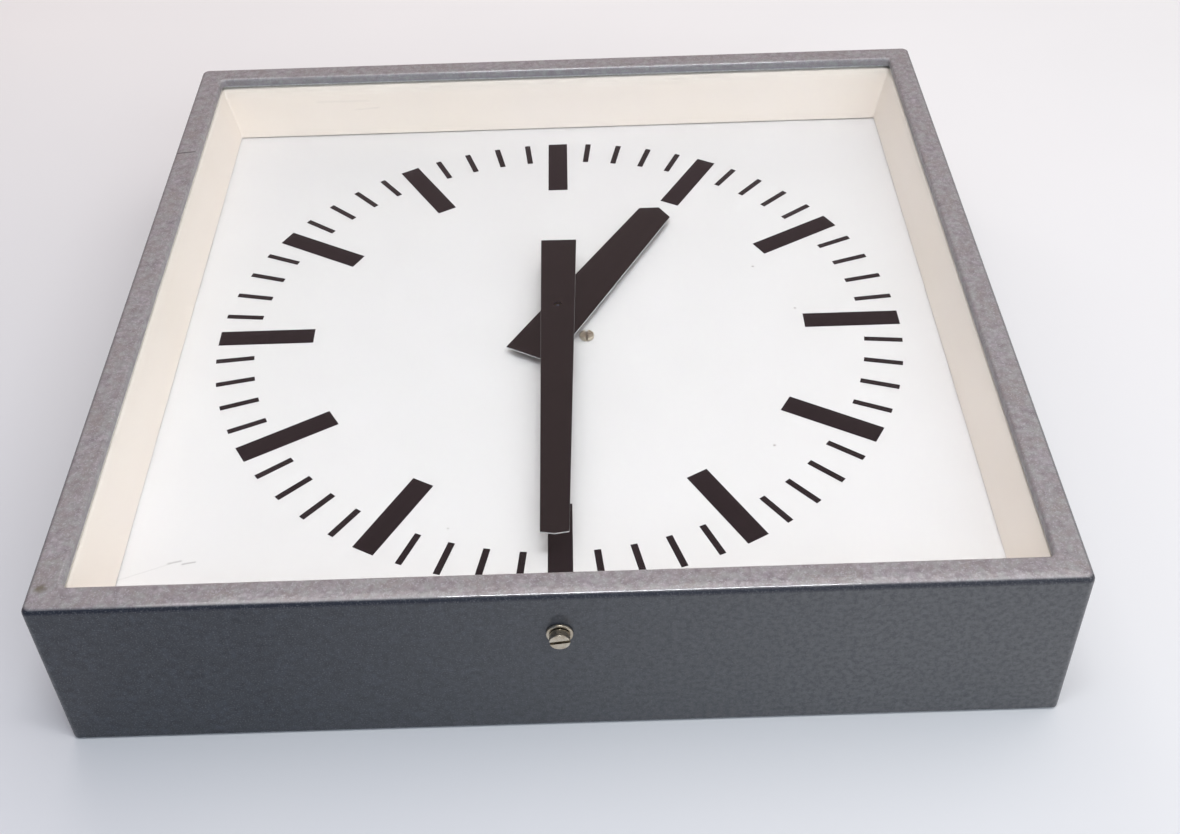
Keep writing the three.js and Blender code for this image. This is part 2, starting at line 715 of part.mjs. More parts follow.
function caseShell() {
  const { half, depth, sheet, cornerR, edgeR, rearZ } = CASE;
  const bevelled = new THREE.ExtrudeGeometry(
    rectangle(half - edgeR, half - edgeR, cornerR - edgeR),
    {
      depth: depth + 10,
      bevelEnabled: true,
      bevelThickness: edgeR,
      bevelSize: edgeR,
      bevelSegments: 3,
      curveSegments: 4,
    },
  ).translate(0, 0, -10 - edgeR);
  const rearCut = block(-half - 1, half + 1, -half - 1, half + 1, -40, rearZ);
  const insideHalf = half - sheet;
  const inside = prism(rectangle(insideHalf, insideHalf, cornerR - sheet), -1, depth - sheet);
  const opening = prism(rectangle(RIM.openHalf, RIM.openHalf, RIM.openR), 40, depth + 1);
  const lipHalf = RIM.openHalf + sheet;
  const lip = prism(rectangle(lipHalf, lipHalf, RIM.openR + sheet), RIM.lipZ, depth - sheet / 2);
  const screwHole = new THREE.CylinderGeometry(SCREW_HOLE_R, SCREW_HOLE_R, 10, 24);
  screwHole.translate(0, -half, LOCK.z);
  return solid(bevelled)
    .subtract(rearCut)
    .subtract(inside)
    .add(lip)
    .subtract(opening)
    .subtract(solid(screwHole));
}

add('case_shell', caseShell(), hammertone);

const glassOutline = rectangle(GLASS.half, GLASS.half, 2);
add('glass_pane', prism(glassOutline, GLASS.z0, GLASS.z1), clearGlass);

const gasketZ = [GLASS.z1 + GAP, RIM.lipZ - GAP];
const gasketInner = RIM.openHalf + 0.4;
const gasket = squareRing([
  [gasketInner, gasketZ[0]],
  [GLASS.half, gasketZ[0]],
  [GLASS.half, gasketZ[1]],
  [gasketInner, gasketZ[1]],
]);
add('glass_gasket', gasket, rubber);

const liner = squareRing([
  [LINER.bottomHalf, LINER.bottomZ],
  [LINER.bottomHalf + LINER.sheet, LINER.bottomZ],
  [LINER.topHalf + LINER.sheet - 0.2, LINER.topZ - LINER.sheet],
  [GLASS.half, LINER.topZ - LINER.sheet],
  [GLASS.half, LINER.topZ],
  [LINER.topHalf, LINER.topZ],
]);
add('inner_liner', liner, cream);

const WALL_Y = CASE.half - CASE.sheet - GAP; // where a fitting on the wall's inner face starts

// An L-shaped clip, drawn for the wall at +Y, that holds the liner's flange up to the glass.
function linerClip() {
  const [halfWidth, sheet, legZ, armY] = [12, 1.5, 48, 189.5];
  const armZ = LINER.topZ - LINER.sheet - 0.4;
  const leg = block(-halfWidth, halfWidth, WALL_Y - sheet, WALL_Y, legZ, armZ);
  const arm = block(-halfWidth, halfWidth, armY, WALL_Y, armZ - sheet, armZ);
  return leg.add(arm);
}

const CLIPS = [
  { side: 0, offset: 0 },
  { side: 1, offset: 0 },
  { side: 2, offset: 90 },
  { side: 3, offset: 0 },
];
CLIPS.forEach(({ side, offset }, i) => {
  const clip = linerClip().translate([offset, 0, 0]);
  add(`liner_clip_${i + 1}`, clip, zincSteel, { turn: [0, 0, (side * Math.PI) / 2] });
});

// A Z-shaped hook on the top wall whose tongue drops behind the back plate's top flange.
function hangingHook() {
  const [halfWidth, sheet, legTop, tongueEnd] = [14, 1.5, 34, 5];
  const webZ = PLATE.height + 0.5;
  const tongueY = PLATE.half - PLATE.flange - 0.4;
  const leg = block(-halfWidth, halfWidth, WALL_Y - sheet, WALL_Y, webZ, legTop);
  const web = block(-halfWidth, halfWidth, tongueY - sheet, WALL_Y, webZ, webZ + sheet);
  const tongue = block(-halfWidth, halfWidth, tongueY - sheet, tongueY, tongueEnd, webZ + sheet);
  return leg.add(web).add(tongue);
}

add('hanging_hook_left', hangingHook(), zincSteel, { at: [-KEYHOLE.x, 0, 0] });
add('hanging_hook_right', hangingHook(), zincSteel, { at: [KEYHOLE.x, 0, 0] });

// ---- case screw through the lower wall. It is drawn along +Z and laid along -Y.

const lockAt = { at: [0, 0, LOCK.z], turn: [Math.PI / 2, 0, 0] };
const wall = CASE.half;

const collar = turned([
  [LOCK.shankR + 0.4, wall - 2],
  [SCREW_HOLE_R - GAP, wall - 2],
  [SCREW_HOLE_R - GAP, wall + GAP],
  [5.2, wall + GAP],
  [5.2, wall + 1],
  [4.7, wall + 1.5],
  [LOCK.shankR + 0.4, wall + 1.5],
]);
add('screw_collar', collar, nickel, lockAt);

const nut = block(-4.5, 4.5, -4.5, 4.5, 190.2, 193.4).subtract(rod(LOCK.shankR + 0.4, 180, 200));
add('clamp_nut', nut, zincSteel, lockAt);

const caseScrew = slottedScrew({
  headR: 4.05,
  headH: 3.4,
  slotW: 1,
  slotD: 1.3,
  shankR: LOCK.shankR,
  headZ: wall + 1.8,
  endZ: wall - 11.2,
  slotAngle: 8,
});
add('case_screw', caseScrew, nickel, lockAt);

export default clock;
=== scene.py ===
# Looks of the square slave wall clock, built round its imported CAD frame.
# Lengths in the script are millimetres and turn into metres where a mesh is made.

import json
import math

import bmesh
import bpy
from mathutils import Matrix, Vector


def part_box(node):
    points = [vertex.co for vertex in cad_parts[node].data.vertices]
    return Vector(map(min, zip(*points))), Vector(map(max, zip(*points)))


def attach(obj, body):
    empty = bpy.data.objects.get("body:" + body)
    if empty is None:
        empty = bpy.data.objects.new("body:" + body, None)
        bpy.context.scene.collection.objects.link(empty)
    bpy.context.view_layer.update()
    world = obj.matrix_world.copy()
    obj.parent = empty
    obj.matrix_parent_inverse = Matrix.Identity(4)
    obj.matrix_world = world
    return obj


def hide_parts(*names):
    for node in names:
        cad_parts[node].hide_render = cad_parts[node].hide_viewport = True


MM = 0.001
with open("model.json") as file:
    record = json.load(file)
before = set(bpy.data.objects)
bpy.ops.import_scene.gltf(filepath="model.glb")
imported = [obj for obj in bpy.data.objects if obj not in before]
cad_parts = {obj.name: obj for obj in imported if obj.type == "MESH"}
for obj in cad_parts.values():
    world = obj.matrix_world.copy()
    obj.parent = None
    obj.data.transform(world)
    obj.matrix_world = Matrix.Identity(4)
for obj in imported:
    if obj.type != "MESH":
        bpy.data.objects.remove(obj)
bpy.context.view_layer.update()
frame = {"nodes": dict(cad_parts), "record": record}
nodes = frame["nodes"]

# ------------------------------ camera, light and floor

CAMERA = {"at": (15.7, -563.2, 500.4), "aim": (13.6, -16.2, 0), "roll": -1.97, "lens": 45.56}
FLOOR_GAP = 0.2


def place_camera():
    """Puts the camera where CAMERA says, in millimetres and degrees."""
    data = bpy.data.cameras.new("camera")
    data.lens = CAMERA["lens"]
    data.sensor_width = 36
    data.clip_start = 0.01
    camera = bpy.data.objects.new("camera", data)
    at, aim = (Vector(CAMERA[key]) * MM for key in ("at", "aim"))
    look = (aim - at).to_track_quat("-Z", "Y").to_matrix()
    roll = Matrix.Rotation(math.radians(CAMERA["roll"]), 3, "Z")
    camera.matrix_world = Matrix.Translation(at) @ (look @ roll).to_4x4()
    bpy.context.scene.collection.objects.link(camera)
    bpy.context.scene.camera = camera


def softbox(name, at, aim, size, watts, colour, mirrored=True):
    """A rectangular lamp, with its place, aim and size in metres. `mirrored` lets glass reflect it."""
    data = bpy.data.lights.new(name, "AREA")
    data.shape = "RECTANGLE"
    data.size, data.size_y = size
    data.energy = watts
    data.color = colour
    light = bpy.data.objects.new(name, data)
    at, aim = Vector(at), Vector(aim)
    turn = (aim - at).to_track_quat("-Z", "Y")
    light.matrix_world = Matrix.Translation(at) @ turn.to_matrix().to_4x4()
    light.visible_glossy = mirrored
    light.visible_transmission = mirrored
    bpy.context.scene.collection.objects.link(light)


def room_glow(front, back, right, backdrop):
    """A dim room, brighter behind the object and to its right. Only the camera sees the backdrop."""
    world = bpy.data.worlds.new("studio")
    world.use_nodes = True
    tree = world.node_tree
    place = tree.nodes.new("ShaderNodeTexCoord").outputs["Generated"]
    axes = tree.nodes.new("ShaderNodeSeparateXYZ")
    tree.links.new(place, axes.inputs[0])
    glow = None
    for axis, low, high, colour in (("Y", -0.3, 0.6, back), ("X", 0.1, 0.9, right)):
        reach = tree.nodes.new("ShaderNodeMapRange")
        reach.interpolation_type = "SMOOTHSTEP"
        reach.inputs["From Min"].default_value = low
        reach.inputs["From Max"].default_value = high
        tree.links.new(axes.outputs[axis], reach.inputs["Value"])
        mix = tree.nodes.new("ShaderNodeMix")
        mix.data_type = "RGBA"
        mix.inputs["A"].default_value = (*front, 1)
        mix.inputs["B"].default_value = (*colour, 1)
        tree.links.new(reach.outputs["Result"], mix.inputs["Factor"])
        if glow:
            tree.links.new(glow, mix.inputs["A"])
        glow = mix.outputs["Result"]
    seen = tree.nodes.new("ShaderNodeMix")
    seen.data_type = "RGBA"
    rays = tree.nodes.new("ShaderNodeLightPath")
    tree.links.new(rays.outputs["Is Camera Ray"], seen.inputs["Factor"])
    tree.links.new(glow, seen.inputs["A"])
    seen.inputs["B"].default_value = (*backdrop, 1)
    tree.links.new(seen.outputs["Result"], tree.nodes["Background"].inputs["Color"])
    bpy.context.scene.world = world


# ------------------------------ materials

RUST_SPOT = ((-194.9, -188.6, 79), (-194.3, -188.2, 79))
PAINT_CRACK = ((-199, 112.3, 79), (-189.5, 113.6, 79))


class Finish:
    """A procedural material: one Principled shader, fed by textures in the piece's own space."""

    def __init__(self, name, colour, roughness, metallic=0.0, **sockets):
        self.material = bpy.data.materials.new(name)
        self.material.use_nodes = True
        self.tree = self.material.node_tree
        self.shader = self.tree.nodes["Principled BSDF"]
        self.set("Base Color", (*colour, 1))
        self.set("Roughness", roughness)
        self.set("Metallic", metallic)
        for socket, value in sockets.items():
            self.set(socket.replace("_", " "), value)
        self.place = self.add("ShaderNodeTexCoord").outputs["Object"]

    def set(self, socket, value):
        self.shader.inputs[socket].default_value = value

    def add(self, kind, **settings):
        node = self.tree.nodes.new(kind)
        for key, value in settings.items():
            setattr(node, key, value)
        return node

    def feed(self, socket, value):
        if isinstance(value, bpy.types.NodeSocket):
            self.tree.links.new(value, socket)
        else:
            socket.default_value = value

    def stretched(self, x, y, z):
        node = self.add("ShaderNodeMapping")
        self.feed(node.inputs["Vector"], self.place)
        node.inputs["Scale"].default_value = (x, y, z)
        return node.outputs["Vector"]

    def noise(self, scale, detail=3.0, roughness=0.5, place=None):
        node = self.add("ShaderNodeTexNoise")
        self.feed(node.inputs["Vector"], place or self.place)
        node.inputs["Scale"].default_value = scale
        node.inputs["Detail"].default_value = detail
        node.inputs["Roughness"].default_value = roughness
        return node.outputs["Fac"]

    def cells(self, scale, feature="SMOOTH_F1", output="Distance"):
        node = self.add("ShaderNodeTexVoronoi", feature=feature)
        self.feed(node.inputs["Vector"], self.place)
        node.inputs["Scale"].default_value = scale
        return node.outputs[output]

    def ramp(self, value, low, high, dark=0.0, light=1.0):
        """Maps low..high on to dark..light, and holds the ends."""
        node = self.add("ShaderNodeMapRange")
        self.feed(node.inputs["Value"], value)
        ends = {"From Min": low, "From Max": high, "To Min": dark, "To Max": light}
        for socket, number in ends.items():
            node.inputs[socket].default_value = number
        return node.outputs["Result"]

    def maths(self, operation, a, b):
        node = self.add("ShaderNodeMath", operation=operation)
        self.feed(node.inputs[0], a)
        self.feed(node.inputs[1], b)
        return node.outputs[0]

    def mixed(self, factor, first, second):
        node = self.add("ShaderNodeMix", data_type="RGBA")
        self.feed(node.inputs["Factor"], factor)
        self.feed(node.inputs["A"], (*first, 1) if isinstance(first, tuple) else first)
        self.feed(node.inputs["B"], (*second, 1) if isinstance(second, tuple) else second)
        return node.outputs["Result"]

    def along(self, vector, axis):
        node = self.add("ShaderNodeSeparateXYZ")
        self.feed(node.inputs[0], vector)
        return node.outputs[axis]

    def vector(self, operation, a, b):
        node = self.add("ShaderNodeVectorMath", operation=operation)
        self.feed(node.inputs[0], a)
        self.feed(node.inputs["Scale"] if operation == "SCALE" else node.inputs[1], b)
        gives_number = operation in ("DOT_PRODUCT", "LENGTH")
        return node.outputs["Value" if gives_number else "Vector"]

    def stroke(self, start, end, width, wander=0.4):
        """1 along a thin line between two points, in millimetres, and 0 away from it."""
        start, end = Vector(start) * MM, Vector(end) * MM
        shake = self.add("ShaderNodeTexNoise")
        self.feed(shake.inputs["Vector"], self.place)
        shake.inputs["Scale"].default_value = 350
        shaken = self.vector("SUBTRACT", shake.outputs["Color"], (0.5, 0.5, 0.5))
        shaken = self.vector("SCALE", shaken, wander * MM)
        offset = self.vector("SUBTRACT", self.vector("ADD", self.place, shaken), start)
        run = end - start
        share = self.ramp(self.vector("DOT_PRODUCT", offset, run), 0, run.length_squared)
        nearest = self.add("ShaderNodeVectorMath", operation="SCALE")
        nearest.inputs[0].default_value = run
        self.feed(nearest.inputs["Scale"], share)
        apart = self.vector("SUBTRACT", offset, nearest.outputs["Vector"])
        away = self.vector("LENGTH", apart, (0, 0, 0))
        return self.ramp(away, 0.25 * width * MM, width * MM, 1, 0)

    def colour(self, value):
        self.feed(self.shader.inputs["Base Color"], value)

    def roughness(self, value):
        self.feed(self.shader.inputs["Roughness"], value)

    def bump(self, height, depth_mm, strength=1.0, onto="Normal"):
        node = self.add("ShaderNodeBump")
        node.inputs["Strength"].default_value = strength
        node.inputs["Distance"].default_value = depth_mm * MM
        self.feed(node.inputs["Height"], height)
        last = self.shader.inputs[onto]
        if last.is_linked:
            self.feed(node.inputs["Normal"], last.links[0].from_socket)
        self.feed(last, node.outputs["Normal"])


def hammertone():
    """Slate stove enamel that dries in shallow dimples; the rim and lip painted paler and warmer as
    painted light, the walls darker as painted shade.
    """
    gloss = {"Specular_IOR_Level": 0.3, "Coat_Roughness": 0.05, "Coat_IOR": 1.8}
    finish = Finish("hammertone", (0.12, 0.12, 0.13), 0.45, **gloss)
    x, y, z = (finish.along(finish.place, axis) for axis in "XYZ")
    # In metres: the front face is at z 0.079, the walls are at 0.2 and the lip's edge is at 0.1875.
    across, up = (finish.maths("ABSOLUTE", value, 0) for value in (x, y))
    reach = finish.maths("MAXIMUM", across, up)
    on_front = finish.ramp(z, 0.0784, 0.0789)
    inside_wall = finish.ramp(reach, 0.191, 0.193, 1, 0)
    rim = finish.maths("MAXIMUM", on_front, inside_wall)
    dimples = finish.cells(430)
    flecks = finish.noise(1500, 2)
    clouds = finish.ramp(finish.noise(90, 4), 0.3, 0.7)
    tint = finish.ramp(finish.noise(230, 3, 0.6), 0.45, 0.6)
    blots = finish.ramp(finish.noise(420, 2, 0.6), 0.4, 0.62)
    pit = finish.ramp(dimples, 0.1, 0.75)
    # The walls take dark, blue-grey copies of the rim's colours: painted shade.
    side = finish.mixed(pit, (0.039, 0.048, 0.064), (0.009, 0.011, 0.017))
    side = finish.mixed(clouds, side, (0.023, 0.027, 0.035))
    # The walls are painted paler towards +X: painted light from the right.
    side = finish.mixed(finish.ramp(x, -0.12, 0.12, 0, 0.75), side, (0.135, 0.133, 0.135))
    side = finish.mixed(finish.maths("MULTIPLY", blots, 0.45), side, (0.024, 0.026, 0.032))
    # A dark navy band just under the front edge's roll: painted shade.
    side = finish.mixed(finish.ramp(z, 0.0762, 0.0772, 0, 0.7), side, (0.016, 0.017, 0.028))
    top = finish.mixed(pit, (0.43, 0.39, 0.41), (0.205, 0.182, 0.195))
    top = finish.mixed(clouds, top, (0.285, 0.252, 0.24))
    top = finish.mixed(finish.maths("MULTIPLY", tint, 0.7), top, (0.345, 0.35, 0.335))
    top = finish.mixed(finish.maths("MULTIPLY", blots, 0.4), top, (0.215, 0.18, 0.2))
    # The lip's inner face is painted paler: painted light.
    top = finish.mixed(finish.ramp(reach, 0.1876, 0.1882, 0.12, 0), top, (0.58, 0.56, 0.60))
    # Pale colours on the rim, dark copies on the walls: painted light and painted shade.
    paint = finish.mixed(rim, side, top)
    flecked = finish.ramp(flecks, 0.53, 0.72, 0, 0.6)
    # The flecks too are dark on the walls and pale on the rim: painted shade and painted light.
    paint = finish.mixed(flecked, paint, finish.mixed(rim, (0.14, 0.14, 0.15), (0.48, 0.47, 0.49)))
    rust = finish.stroke(*RUST_SPOT, 2.6, 2.5)
    paint = finish.mixed(finish.maths("MULTIPLY", rust, 0.65), paint, (0.10, 0.08, 0.03))
    crack = finish.stroke(*PAINT_CRACK, 0.7, 0.8)
    finish.colour(finish.mixed(finish.maths("MULTIPLY", crack, 0.8), paint, (0.03, 0.026, 0.028)))
    finish.roughness(finish.ramp(dimples, 0.0, 0.8, 0.36, 0.54))
    finish.feed(finish.shader.inputs["Coat Weight"], finish.ramp(z, 0.078, 0.0785, 0.3, 1.0))
    finish.bump(dimples, 0.12, 0.5)
    finish.bump(flecks, 0.02, 0.4)
    finish.bump(dimples, 0.06, 0.25, "Coat Normal")
    return finish.material


def enamel(name, colour, shade, roughness, marks=()):
    """Sprayed enamel on sheet metal, with faint orange peel, uneven age, specks and scratches."""
    finish = Finish(name, colour, roughness, Specular_IOR_Level=0.4)
    age = finish.noise(14, 5, 0.6)
    paint = finish.mixed(finish.ramp(age, 0.35, 0.75, 0, 0.8), colour, shade)
    specks = finish.ramp(finish.cells(36, "F1"), 0.02, 0.032, 0.6, 0)
    paint = finish.mixed(specks, paint, (0.25, 0.22, 0.2))
    for start, end, width, strength in marks:
        line = finish.maths("MULTIPLY", finish.stroke(start, end, width), strength)
        paint = finish.mixed(line, paint, (0.2, 0.19, 0.19))
    finish.colour(paint)
    wear = finish.noise(60, 3)
    finish.roughness(finish.ramp(wear, 0.3, 0.7, roughness - 0.06, roughness + 0.08))
    finish.bump(finish.noise(500, 2), 0.02, 0.4)
    return finish.material


def matte_black(name, colour, grain, bare_edge=False):
    """Dull black paint. On the hands it covers the faces, and the cut edges of the sheet stay bare."""
    finish = Finish(name, colour, 0.7, Specular_IOR_Level=0.05)
    speckle = finish.noise(grain, 3, 0.6)
    paler = tuple(1.7 * c for c in colour)
    paint = finish.mixed(finish.ramp(speckle, 0.4, 0.8), colour, paler)
    if bare_edge:
        facing = finish.add("ShaderNodeTexCoord").outputs["Normal"]
        flat = finish.maths("ABSOLUTE", finish.along(facing, "Z"), 0)
        in_plan = finish.vector("MULTIPLY", finish.place, (1, 1, 0))
        from_hub = finish.vector("LENGTH", in_plan, (0, 0, 0))
        off_hub = finish.ramp(from_hub, 0.005, 0.007)
        bare = finish.maths("MULTIPLY", finish.ramp(flat, 0.45, 0.7, 1, 0), off_hub)
        paint = finish.mixed(bare, paint, (0.5, 0.5, 0.51))
    finish.colour(paint)
    finish.roughness(finish.ramp(speckle, 0.3, 0.7, 0.55, 0.75))
    finish.bump(speckle, 0.015, 0.5)
    return finish.material


def metal(name, colour, tarnish, roughness, grain=(1, 1, 1)):
    """Bare or plated metal with fine tool marks, a light tarnish and painted shade in its corners."""
    finish = Finish(name, colour, roughness, 1.0)
    stain = finish.noise(220, 4, 0.6)
    scratches = finish.noise(900, 3, 0.7, finish.stretched(*grain))
    # An ambient occlusion node paints corners, slots and contacts dark: painted shade.
    corners = finish.add("ShaderNodeAmbientOcclusion", samples=8)
    corners.inputs["Distance"].default_value = 1.5 * MM
    corner_shade = finish.ramp(corners.outputs["AO"], 0.2, 0.75, 0.85, 0)
    clean = finish.mixed(finish.ramp(stain, 0.42, 0.72), colour, tarnish)
    finish.colour(finish.mixed(corner_shade, clean, (0.03, 0.022, 0.015)))
    finish.roughness(finish.ramp(scratches, 0.3, 0.7, roughness - 0.08, roughness + 0.12))
    finish.bump(scratches, 0.01, 0.5)
    return finish.material


def spangled_zinc():
    """Zinc plate with large dull crystals."""
    finish = Finish("zinc", (0.55, 0.56, 0.57), 0.45, 0.9)
    crystals = finish.along(finish.cells(110, "F1", "Color"), "X")
    grain = finish.noise(700, 3, 0.6)
    patches = finish.ramp(finish.noise(40, 4), 0.3, 0.7)
    grey = finish.mixed(patches, (0.5, 0.51, 0.52), (0.62, 0.63, 0.64))
    finish.colour(finish.mixed(finish.ramp(crystals, 0, 1, 0, 0.45), grey, (0.34, 0.35, 0.37)))
    finish.roughness(finish.ramp(grain, 0.3, 0.7, 0.36, 0.55))
    finish.bump(grain, 0.012, 0.4)
    return finish.material


def clear_glass():
    """Thin window glass. Its faint tint and slight waviness come from nodes."""
    finish = Finish("glass", (0.93, 0.96, 0.95), 0.0, Transmission_Weight=1.0, IOR=1.5)
    finish.colour(finish.mixed(finish.noise(8, 2), (0.95, 0.98, 0.965), (0.97, 0.985, 0.98)))
    finish.bump(finish.noise(5, 1), 0.02, 0.1)
    return finish.material


def laminated(name, colour, pitch_mm):
    """Stacked iron sheets: fine dark joints across Z."""
    finish = Finish(name, colour, 0.55, 0.7)
    layers = finish.add("ShaderNodeTexWave", bands_direction="Z")
    finish.feed(layers.inputs["Vector"], finish.place)
    layers.inputs["Scale"].default_value = 1 / (pitch_mm * MM * 3.2)
    rust = finish.noise(180, 4, 0.6)
    joint = tuple(0.4 * c for c in colour)
    iron = finish.mixed(finish.ramp(layers.outputs["Fac"], 0.0, 0.3), joint, colour)
    finish.colour(finish.mixed(finish.ramp(rust, 0.6, 0.8, 0, 0.6), iron, (0.16, 0.08, 0.045)))
    finish.bump(layers.outputs["Fac"], 0.05, 0.5)
    return finish.material


def moulded(name, colour, roughness):
    """Moulded plastic, rubber or sleeve with a fine speckle."""
    finish = Finish(name, colour, roughness)
    speckle = finish.noise(800, 3, 0.6)
    paler = tuple(1.5 * c + 0.01 for c in colour)
    finish.colour(finish.mixed(finish.ramp(speckle, 0.35, 0.75), colour, paler))
    wear = finish.noise(150, 3)
    finish.roughness(finish.ramp(wear, 0.3, 0.7, roughness - 0.08, roughness + 0.08))
    finish.bump(speckle, 0.02, 0.4)
    return finish.material


def wound_copper():
    """Enamelled copper wire in close turns round the X axis."""
    finish = Finish("copper_wire", (0.5, 0.2, 0.1), 0.35, 0.8, Coat_Weight=0.4)
    turns = finish.add("ShaderNodeTexWave", bands_direction="X")
    finish.feed(turns.inputs["Vector"], finish.place)
    turns.inputs["Scale"].default_value = 700
    # The grooves between the turns are painted dark: painted shade.
    shade = finish.ramp(turns.outputs["Fac"], 0.0, 0.6)
    finish.colour(finish.mixed(shade, (0.16, 0.05, 0.025), (0.55, 0.22, 0.11)))
    finish.bump(turns.outputs["Fac"], 0.12, 0.7)
    return finish.material


# ------------------------------ mesh tools


def dress(piece, material, smooth_angle=35):
    """Gives a piece its material and smooth shading, with its folds kept sharp."""
    piece.data.materials.clear()
    piece.data.materials.append(material)
    piece.data.polygons.foreach_set("use_smooth", [True] * len(piece.data.polygons))
    piece.data.set_sharp_from_angle(angle=math.radians(smooth_angle))
    piece.data.update()


def placed(bm, name):
    """A new object from bmesh data in metres."""
    mesh = bpy.data.meshes.new(name)
    bm.to_mesh(mesh)
    bm.free()
    piece = bpy.data.objects.new(name, mesh)
    bpy.context.scene.collection.objects.link(piece)
    return piece


def piece_of(bm, name):
    """A new object from bmesh data in millimetres."""
    bmesh.ops.recalc_face_normals(bm, faces=bm.faces)
    bmesh.ops.transform(bm, matrix=Matrix.Scale(MM, 4), verts=bm.verts)
    return placed(bm, name)


def settle(piece):
    """Applies a piece's modifiers to its mesh."""
    evaluated = piece.evaluated_get(bpy.context.evaluated_depsgraph_get())
    mesh = bpy.data.meshes.new_from_object(evaluated)
    piece.modifiers.clear()
    piece.data = mesh


def combine(operation, piece, others):
    """Cuts others out of a piece, or joins them to it, and removes them."""
    for other in others:
        modifier = piece.modifiers.new("solid", "BOOLEAN")
        modifier.operation = operation
        modifier.solver = "EXACT"
        modifier.object = other
    settle(piece)
    for other in others:
        bpy.data.objects.remove(other)


def cut(piece, *others):
    """Cuts other pieces out of a piece, and removes them."""
    combine("DIFFERENCE", piece, others)


def fuse(piece, *others):
    """Makes one solid of a piece and others."""
    combine("UNION", piece, others)


def soften(piece, width_mm, segments=3, angle=30):
    """Rounds a piece's sharp edges."""
    modifier = piece.modifiers.new("edges", "BEVEL")
    modifier.width = width_mm * MM
    modifier.segments = segments
    modifier.limit_method = "ANGLE"
    modifier.angle_limit = math.radians(angle)
    modifier.use_clamp_overlap = True
    settle(piece)


def even_normals(piece):
    """Keeps large flats from being shaded by the small roundings beside them."""
    modifier = piece.modifiers.new("normals", "WEIGHTED_NORMAL")
    modifier.keep_sharp = True
    modifier.weight = 80


def rounded_square(half_x, half_y, r, z, steps):
    """One closed ring of points, with an arc of `steps` spans at each corner."""
    ring = []
    for quarter, (sx, sy) in enumerate(((1, 1), (-1, 1), (-1, -1), (1, -1))):
        for step in range(steps + 1):
            angle = math.pi / 2 * (quarter + step / steps)
            x = sx * (half_x - r) + r * math.cos(angle)
            y = sy * (half_y - r) + r * math.sin(angle)
            ring.append((x, y, z))
    return ring


def wall(bm, low, high):
    """Quads between two rings of vertices."""
    for i in range(len(low)):
        j = (i + 1) % len(low)
        bm.faces.new((low[i], low[j], high[j], high[i]))


def loft(name, rings, closed=True):
    """Joins rings of equal length with quads; a closed loft joins the last ring to the first."""
    bm = bmesh.new()
    loops = [[bm.verts.new(point) for point in ring] for ring in rings]
    pairs = list(zip(loops, loops[1:]))
    if closed:
        pairs.append((loops[-1], loops[0]))
    else:
        bm.faces.new(loops[0])
        bm.faces.new(loops[-1])
    for low, high in pairs:
        wall(bm, low, high)
    return piece_of(bm, name)


def arc(centre, r, start, end, steps):
    """Points on an arc, with angles in degrees."""
    points = []
    for step in range(steps + 1):
        angle = math.radians(start + (end - start) * step / steps)
        points.append((centre[0] + r * math.cos(angle), centre[1] + r * math.sin(angle)))
    return points


ON_AXIS = 1e-6


def turned(name, profile, at=(0, 0, 0), segments=64):
    """A round piece about a vertical axis, from (radius, height) points that may touch the axis."""
    bm = bmesh.new()
    rings = []
    for r, z in profile:
        if r < ON_AXIS:
            rings.append([bm.verts.new((at[0], at[1], at[2] + z))])
            continue
        ring = []
        for i in range(segments):
            angle = 2 * math.pi * i / segments
            point = (at[0] + r * math.cos(angle), at[1] + r * math.sin(angle), at[2] + z)
            ring.append(bm.verts.new(point))
        rings.append(ring)
    pairs = list(zip(rings, rings[1:]))
    if len(rings[0]) > 1:
        pairs.append((rings[-1], rings[0]))
    for low, high in pairs:
        for i in range(segments):
            j = (i + 1) % segments
            around = ((low, i), (low, j), (high, j), (high, i))
            corners = list(dict.fromkeys(ring[k % len(ring)] for ring, k in around))
            if len(corners) > 2:
                bm.faces.new(corners)
    return piece_of(bm, name)


def slab(name, outline, z0, z1):
    """A flat outline between two heights."""
    bm = bmesh.new()
    low = [bm.verts.new((x, y, z0)) for x, y in outline]
    high = [bm.verts.new((x, y, z1)) for x, y in outline]
    bm.faces.new(reversed(low))
    bm.faces.new(high)
    wall(bm, low, high)
    return piece_of(bm, name)


def bar(name, x0, x1, y0, y1, z0, z1):
    return slab(name, [(x0, y0), (x1, y0), (x1, y1), (x0, y1)], z0, z1)


def spin(piece, degrees, axis="Z"):
    """Turns a piece's mesh about the origin."""
    piece.data.transform(Matrix.Rotation(math.radians(degrees), 4, axis))
    return piece


def shift(piece, x, y, z=0):
    piece.data.transform(Matrix.Translation(Vector((x, y, z)) * MM))
    return piece


def plug(r, z0, z1, x=0, y=0, segments=40):
    """A round bar along Z, to cut holes with."""
    return turned("plug", [(0, z0), (r, z0), (r, z1), (0, z1)], (x, y, 0), segments)


slot_of = {part["node"]: part["material_slot"] for part in frame["record"]["subparts"]}
body_of = {node: body for body, held in frame["record"]["behaviour"]["bodies"].items() for node in held}


def stands_for(piece, node, smooth_angle=35):
    """Finishes a piece and puts it in a CAD node's place, on its body and in its material."""
    dress(piece, SPECIAL.get(node, MATERIALS[slot_of[node]]), smooth_angle)
    even_normals(piece)
    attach(piece, body_of[node])
    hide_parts(node)


def size_mm(node):
    """A CAD node's lowest and highest corners in millimetres."""
    low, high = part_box(node)
    return [c / MM for c in low], [c / MM for c in high]


